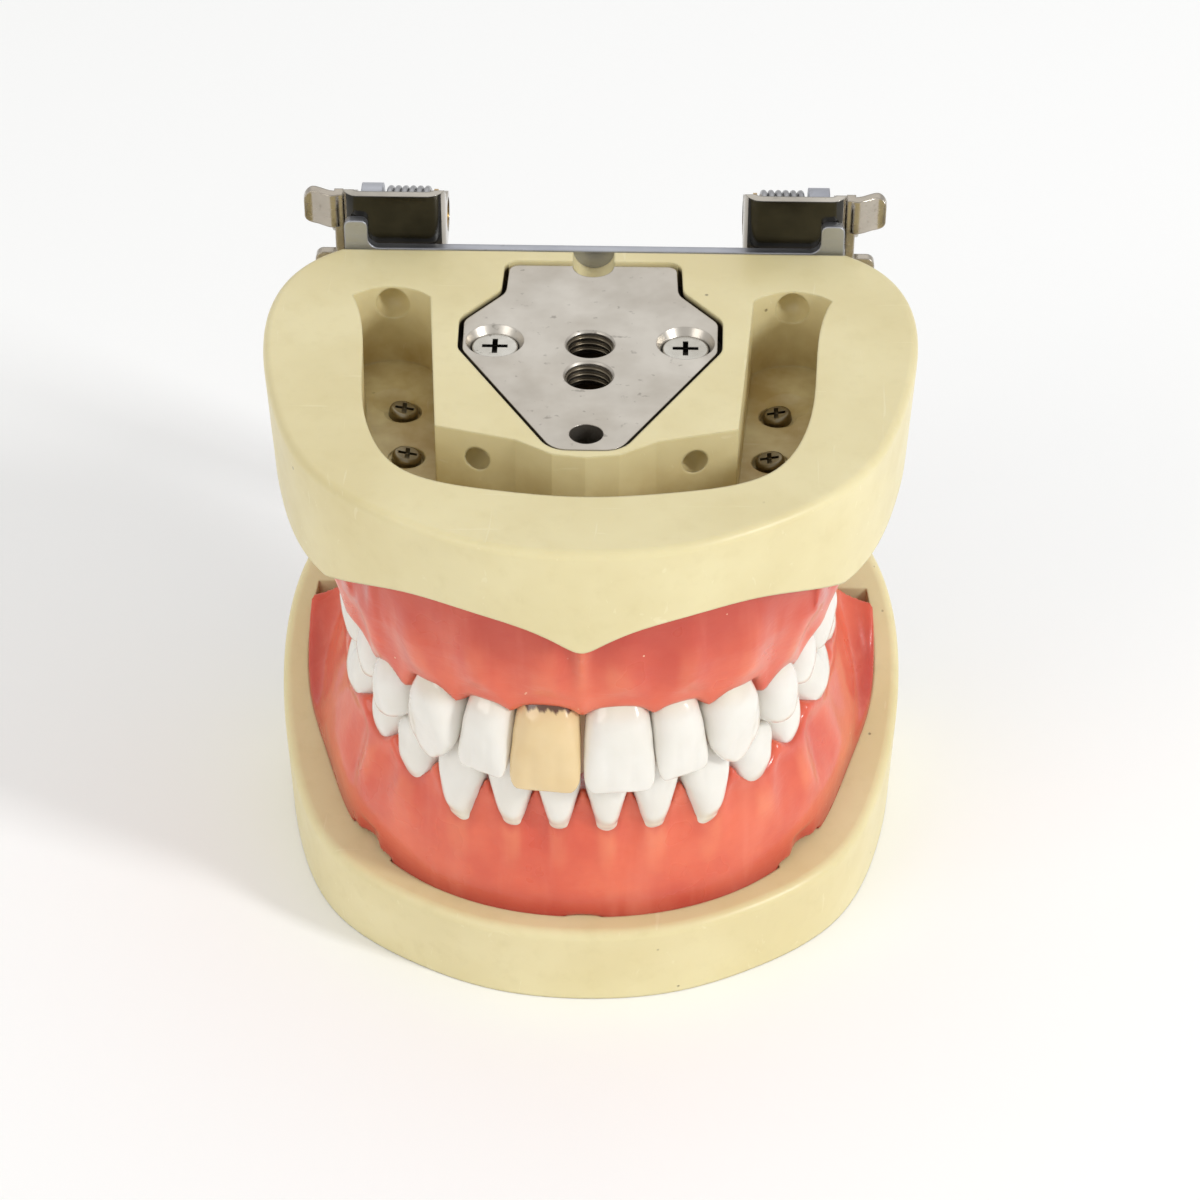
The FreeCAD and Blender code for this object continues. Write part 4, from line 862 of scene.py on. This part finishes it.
GUM_STEP = 0.42
# half width, reach and height of the gums' outer faces
UPPER_GUM_SHAPE = (
    (34.5, 47.2, 61.0), (34.3, 47.2, 56.0), (33.8, 47.1, 50.5), (31.8, 46.2, 44.5), (31.0, 45.6, 40.0),
)
LOWER_GUM_SHAPE = (
    (35.6, 45.0, 5.0), (35.0, 44.8, 12.0), (34.2, 44.9, 17.0), (32.4, 44.7, 22.0), (31.0, 44.4, 26.0),
)
# half width, reach and height of the palate's walls and of the tongue's space
PALATE_SHAPE = ((18.4, 35.6, 51.6), (21.6, 37.6, 43.0), (23.0, 38.6, 38.0))
TONGUE_SHAPE = ((17.6, 33.4, 5.0), (20.6, 36.2, 26.0), (21.4, 36.8, 31.0))
PALATE_TOP = 51.8
# x, half width, lowest and highest point, and how far each upper band of gum stands out
UPPER_FRENUMS = (
    (0.0, 0.30, 45.5, 57.0, 1.5),
    (-27.6, 0.30, 48.0, 55.5, 0.9),
    (-24.3, 0.25, 48.0, 56.0, 0.6),
    (27.0, 0.30, 48.0, 55.5, 0.9),
)


def make_upper_gum():
    step = GUM_STEP
    low = np.array([-36.4, -30.6, 36.5])
    high = np.array([36.4, 29.9, 60.9])
    axes = [np.arange(a, b, step) for a, b in zip(low, high)]
    x, y, z = np.meshgrid(*axes, indexing="ij")
    a, b = levels(z, UPPER_GUM_SHAPE)
    past, near, root = gum_fields("upper", x, y, z)
    outer = arch_distance(x, y, a, b)
    fade = ramp(-past, 0.3, 3.0) * (1 - ramp(-past, 7.0, 13.0))
    outer = outer - fade * (0.75 * root - 0.32) - 0.10 * wave_noise(x, y, z, 9.0, 3)
    for place, wide, low_z, high_z, amount in UPPER_FRENUMS:
        held_back = outer + (np.where(y < 8, 0, 3.0) if place else 0.0)
        outer = frenum(outer, x, z, held_back, place, wide, low_z, high_z, amount, 1.0)
    pa, pb = levels(z, PALATE_SHAPE)
    rugae = 0.32 * np.sin((y + 0.35 * np.abs(x)) * 1.75 + 0.4 * np.sin(x * 0.5))
    rugae = rugae * ramp(-y, -2.0, 6.0) * ramp(np.abs(x), 0.6, 2.4)
    ridge = 0.5 * np.exp(-((x / 0.8) ** 2))
    vault = smooth_max(arch_distance(x, y, pa, pb), z - PALATE_TOP + rugae + ridge, 5.0)
    field = np.maximum(outer, -vault)
    below = np.maximum(-past, 0.0)
    collar = near - 0.55 - 0.48 * below - 0.22 * below**2
    field = smooth_max(field, collar, 0.8)
    field = smooth_max(field, past, 0.7)
    top = np.where(outer > -3.4, 60.6, 57.0)
    field = np.maximum(field, np.maximum(y - 29.4, z - top))
    points, quads = nets(field, low, step)
    points = relax(points, quads, 2)
    px, py, pz = points.T
    past, near, root = gum_fields("upper", px, py, pz)
    # painted shade: darker towards the cream wall above and next to the teeth
    gum_shade = 0.75 * ramp(pz, 46.0, 58.0) + 0.35 * np.exp(-((near / 0.5) ** 2)) * ramp(-past, -1.0, 0.3)
    # partly paler thin gum over the roots and frenum, partly a painted highlight on their ridges
    pale = 0.7 * ramp(root, 0.55, 0.95) * ramp(-past, 0.8, 3.0) * (1 - ramp(-past, 5.0, 9.5))
    pale = pale * ramp(-py, -2.0, 8.0)
    pale = pale * (0.55 + 0.45 * wave_noise(px, py, pz, 7.0, 21))
    pale = np.maximum(pale, 0.8 * np.exp(-((px / 0.8) ** 2)) * ramp(pz, 44.0, 50.0) * (py < 0))
    values = {"gum_shade": np.clip(gum_shade, 0, 1), "pale": np.clip(pale, 0, 1)}
    add_mesh("upper_gum", points, quads, GUM, "upper_jaw", ("upper_gingiva",), values)


# front edge, half width, inset, corner and squeeze of the lower base's inner wall
LOWER_WALL = (-29.0, 38.9, 3.15, 4.6, 0.035)
# the rim's height at a few y
RIM = ((-50, 10.6), (-22, 10.9), (-2, 12.6), (10, 15.8), (20, 21.5), (40, 35.0))
# x, y and radius of the rim's inward bumps
FRENUM_BUMPS = ((28.4, -15.0, 5.0), (0.0, -31.3, 6.0), (-28.4, -15.0, 5.0))
# x, y, width and height of the gum's swelling inside each side bump
SWELL_X, SWELL_Y, SWELL_WIDTH, SWELL_HEIGHT = 25.2, -11.2, 3.2, 2.6
LOWER_GUM_TOP, LOWER_GUM_REAR_DROP = 31.0, 3.4


def make_lower_gum():
    step = GUM_STEP
    low = np.array([-37.6, -28.2, 2.0])
    high = np.array([37.6, 23.2, 31.0])
    axes = [np.arange(a, b, step) for a, b in zip(low, high)]
    x, y, z = np.meshgrid(*axes, indexing="ij")
    plan_x, plan_y = np.meshgrid(axes[0], axes[1], indexing="ij")
    wall = outline_distance(d_outline(*LOWER_WALL), plan_x, plan_y)
    bumps = np.full(plan_x.shape, -30.0)
    for bump_x, bump_y, radius in FRENUM_BUMPS:
        bumps = np.maximum(bumps, radius - np.hypot(plan_x - bump_x, plan_y - bump_y))
    bumps = bumps[:, :, None]
    wall = wall[:, :, None]
    past, near, root = gum_fields("lower", x, y, z)
    a, b = levels(z, LOWER_GUM_SHAPE)
    outer = arch_distance(x, y, a, b)
    fade = ramp(-past, 0.3, 3.0) * (1 - ramp(-past, 6.0, 12.0))
    outer = outer - fade * (0.95 * root - 0.40) * ramp(-y, -2.0, 12.0) - 0.14 * wave_noise(x, y, z, 8.0, 5)
    outer = frenum(outer, x, z, outer, 0.0, 0.30, 19.5, 12.0, 1.3, -1.0)
    rim = np.interp(y, [r[0] for r in RIM], [r[1] for r in RIM])
    lip = 1.0 * np.exp(wall / 1.3)
    rear = ramp(y, -2.0, 18.0)
    rise = 1.7 * rear + 1.9 * ramp(y, 12.0, 21.0)
    flange = z - (rim - 1.9 + lip + rise + 0.10 * wave_noise(x, y, z, 6.0, 8))
    for side in (-1, 1):
        toward = np.hypot(x - side * SWELL_X, y - SWELL_Y)
        flange = flange - SWELL_HEIGHT * np.exp(-((toward / SWELL_WIDTH) ** 2))
    body = smooth_min(outer, flange, 3.4 + 2.4 * rear)
    ta, tb = levels(z, TONGUE_SHAPE)
    body = smooth_max(body, -arch_distance(x, y, ta, tb), 1.6)
    below = np.maximum(-past, 0.0)
    collar = near - 0.55 - 0.55 * below - 0.30 * below**2
    field = smooth_max(body, collar, 0.8)
    field = smooth_max(field, past, 0.7)
    field = smooth_max(field, z - (LOWER_GUM_TOP - LOWER_GUM_REAR_DROP * ramp(y, 11.0, 16.0)), 0.8)
    field = smooth_max(field, wall, 0.5)
    field = np.maximum(field, np.minimum(bumps + 0.12, rim + 0.12 - z))
    field = smooth_max(field, np.minimum(bumps - 1.9, rim + 2.4 - z), 0.5)
    field = np.maximum(field, np.maximum(y - 22.9, 2.6 - z))
    points, quads = nets(field, low, step)
    points = relax(points, quads, 2)
    px, py, pz = points.T
    past, near, root = gum_fields("lower", px, py, pz)
    rim = np.interp(py, [r[0] for r in RIM], [r[1] for r in RIM])
    # painted shade: darker down in the sulcus by the rim and next to the teeth
    gum_shade = 1 - ramp(pz, rim - 0.5, rim + 5.0)
    gum_shade = gum_shade + 0.3 * np.exp(-((near / 0.5) ** 2)) * ramp(-past, -1.0, 0.3)
    # partly paler thin gum over the roots, partly a painted highlight on the root ridges
    pale = ramp(root, 0.45, 0.95) * ramp(-past, 0.6, 2.5) * (1 - ramp(-past, 4.5, 8.5))
    pale = pale * ramp(-py, -2.0, 8.0)
    pale = pale * (0.6 + 0.4 * wave_noise(px, py, pz, 6.0, 22))
    values = {"gum_shade": np.clip(gum_shade, 0, 1), "pale": np.clip(pale, 0, 1)}
    add_mesh("lower_gum", points, quads, GUM, "lower_jaw", ("lower_gingiva",), values)


make_upper_gum()
make_lower_gum()


# ---------------------------------------------------------------- threads in the plate
THREAD_STEPS = 48
THREAD_RADIUS, THREAD_PITCH, THREAD_HOLES_Y = 2.75, 0.8, (9.1, 2.6)


def thread(name, centre_y, radius, low, high, pitch, body):
    """The ridges of an internal screw thread, as a swept triangle."""
    count = int((high - low) / pitch * THREAD_STEPS)
    t = np.arange(count + 1) / THREAD_STEPS
    angle = 2 * math.pi * t
    height = low + pitch * t
    profile = ((radius + 0.03, -0.42), (radius - 0.34, 0.0), (radius + 0.03, 0.42))
    rings = []
    for r, dz in profile:
        rings.append(np.stack([r * np.cos(angle), centre_y + r * np.sin(angle), height + dz * pitch], 1))
    points = np.concatenate(rings)
    n = count + 1
    quads = []
    for i in range(count):
        for j in range(3):
            a, b = j * n, ((j + 1) % 3) * n
            quads.append((a + i, b + i, b + i + 1, a + i + 1))
    quads = np.array(quads)[:, ::-1]
    add_mesh(name, points, quads, THREAD.material, body)


plate_low, plate_high = (p / MM for p in (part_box("mounting_plate")[0].z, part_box("mounting_plate")[1].z))
for index, centre in enumerate(THREAD_HOLES_Y):
    name = f"plate_thread_{index + 1}"
    thread(name, centre, THREAD_RADIUS, plate_low + 0.3, plate_high - 0.65, THREAD_PITCH, "upper_jaw")

# ---------------------------------------------------------------- floor
floor_mesh = bpy.data.meshes.new("floor")
floor_mesh.from_pydata([(-3, -3, 0), (3, -3, 0), (3, 3, 0), (-3, 3, 0)], [], [(0, 1, 2, 3)])
floor = bpy.data.objects.new("floor", floor_mesh)
scene.collection.objects.link(floor)
floor.location.z = -0.0001
paper = Maker("floor_paper")
paper.set(colour=rgb(252, 252, 251), rough=0.85, specular=0.2)
floor_mesh.materials.append(paper.material)
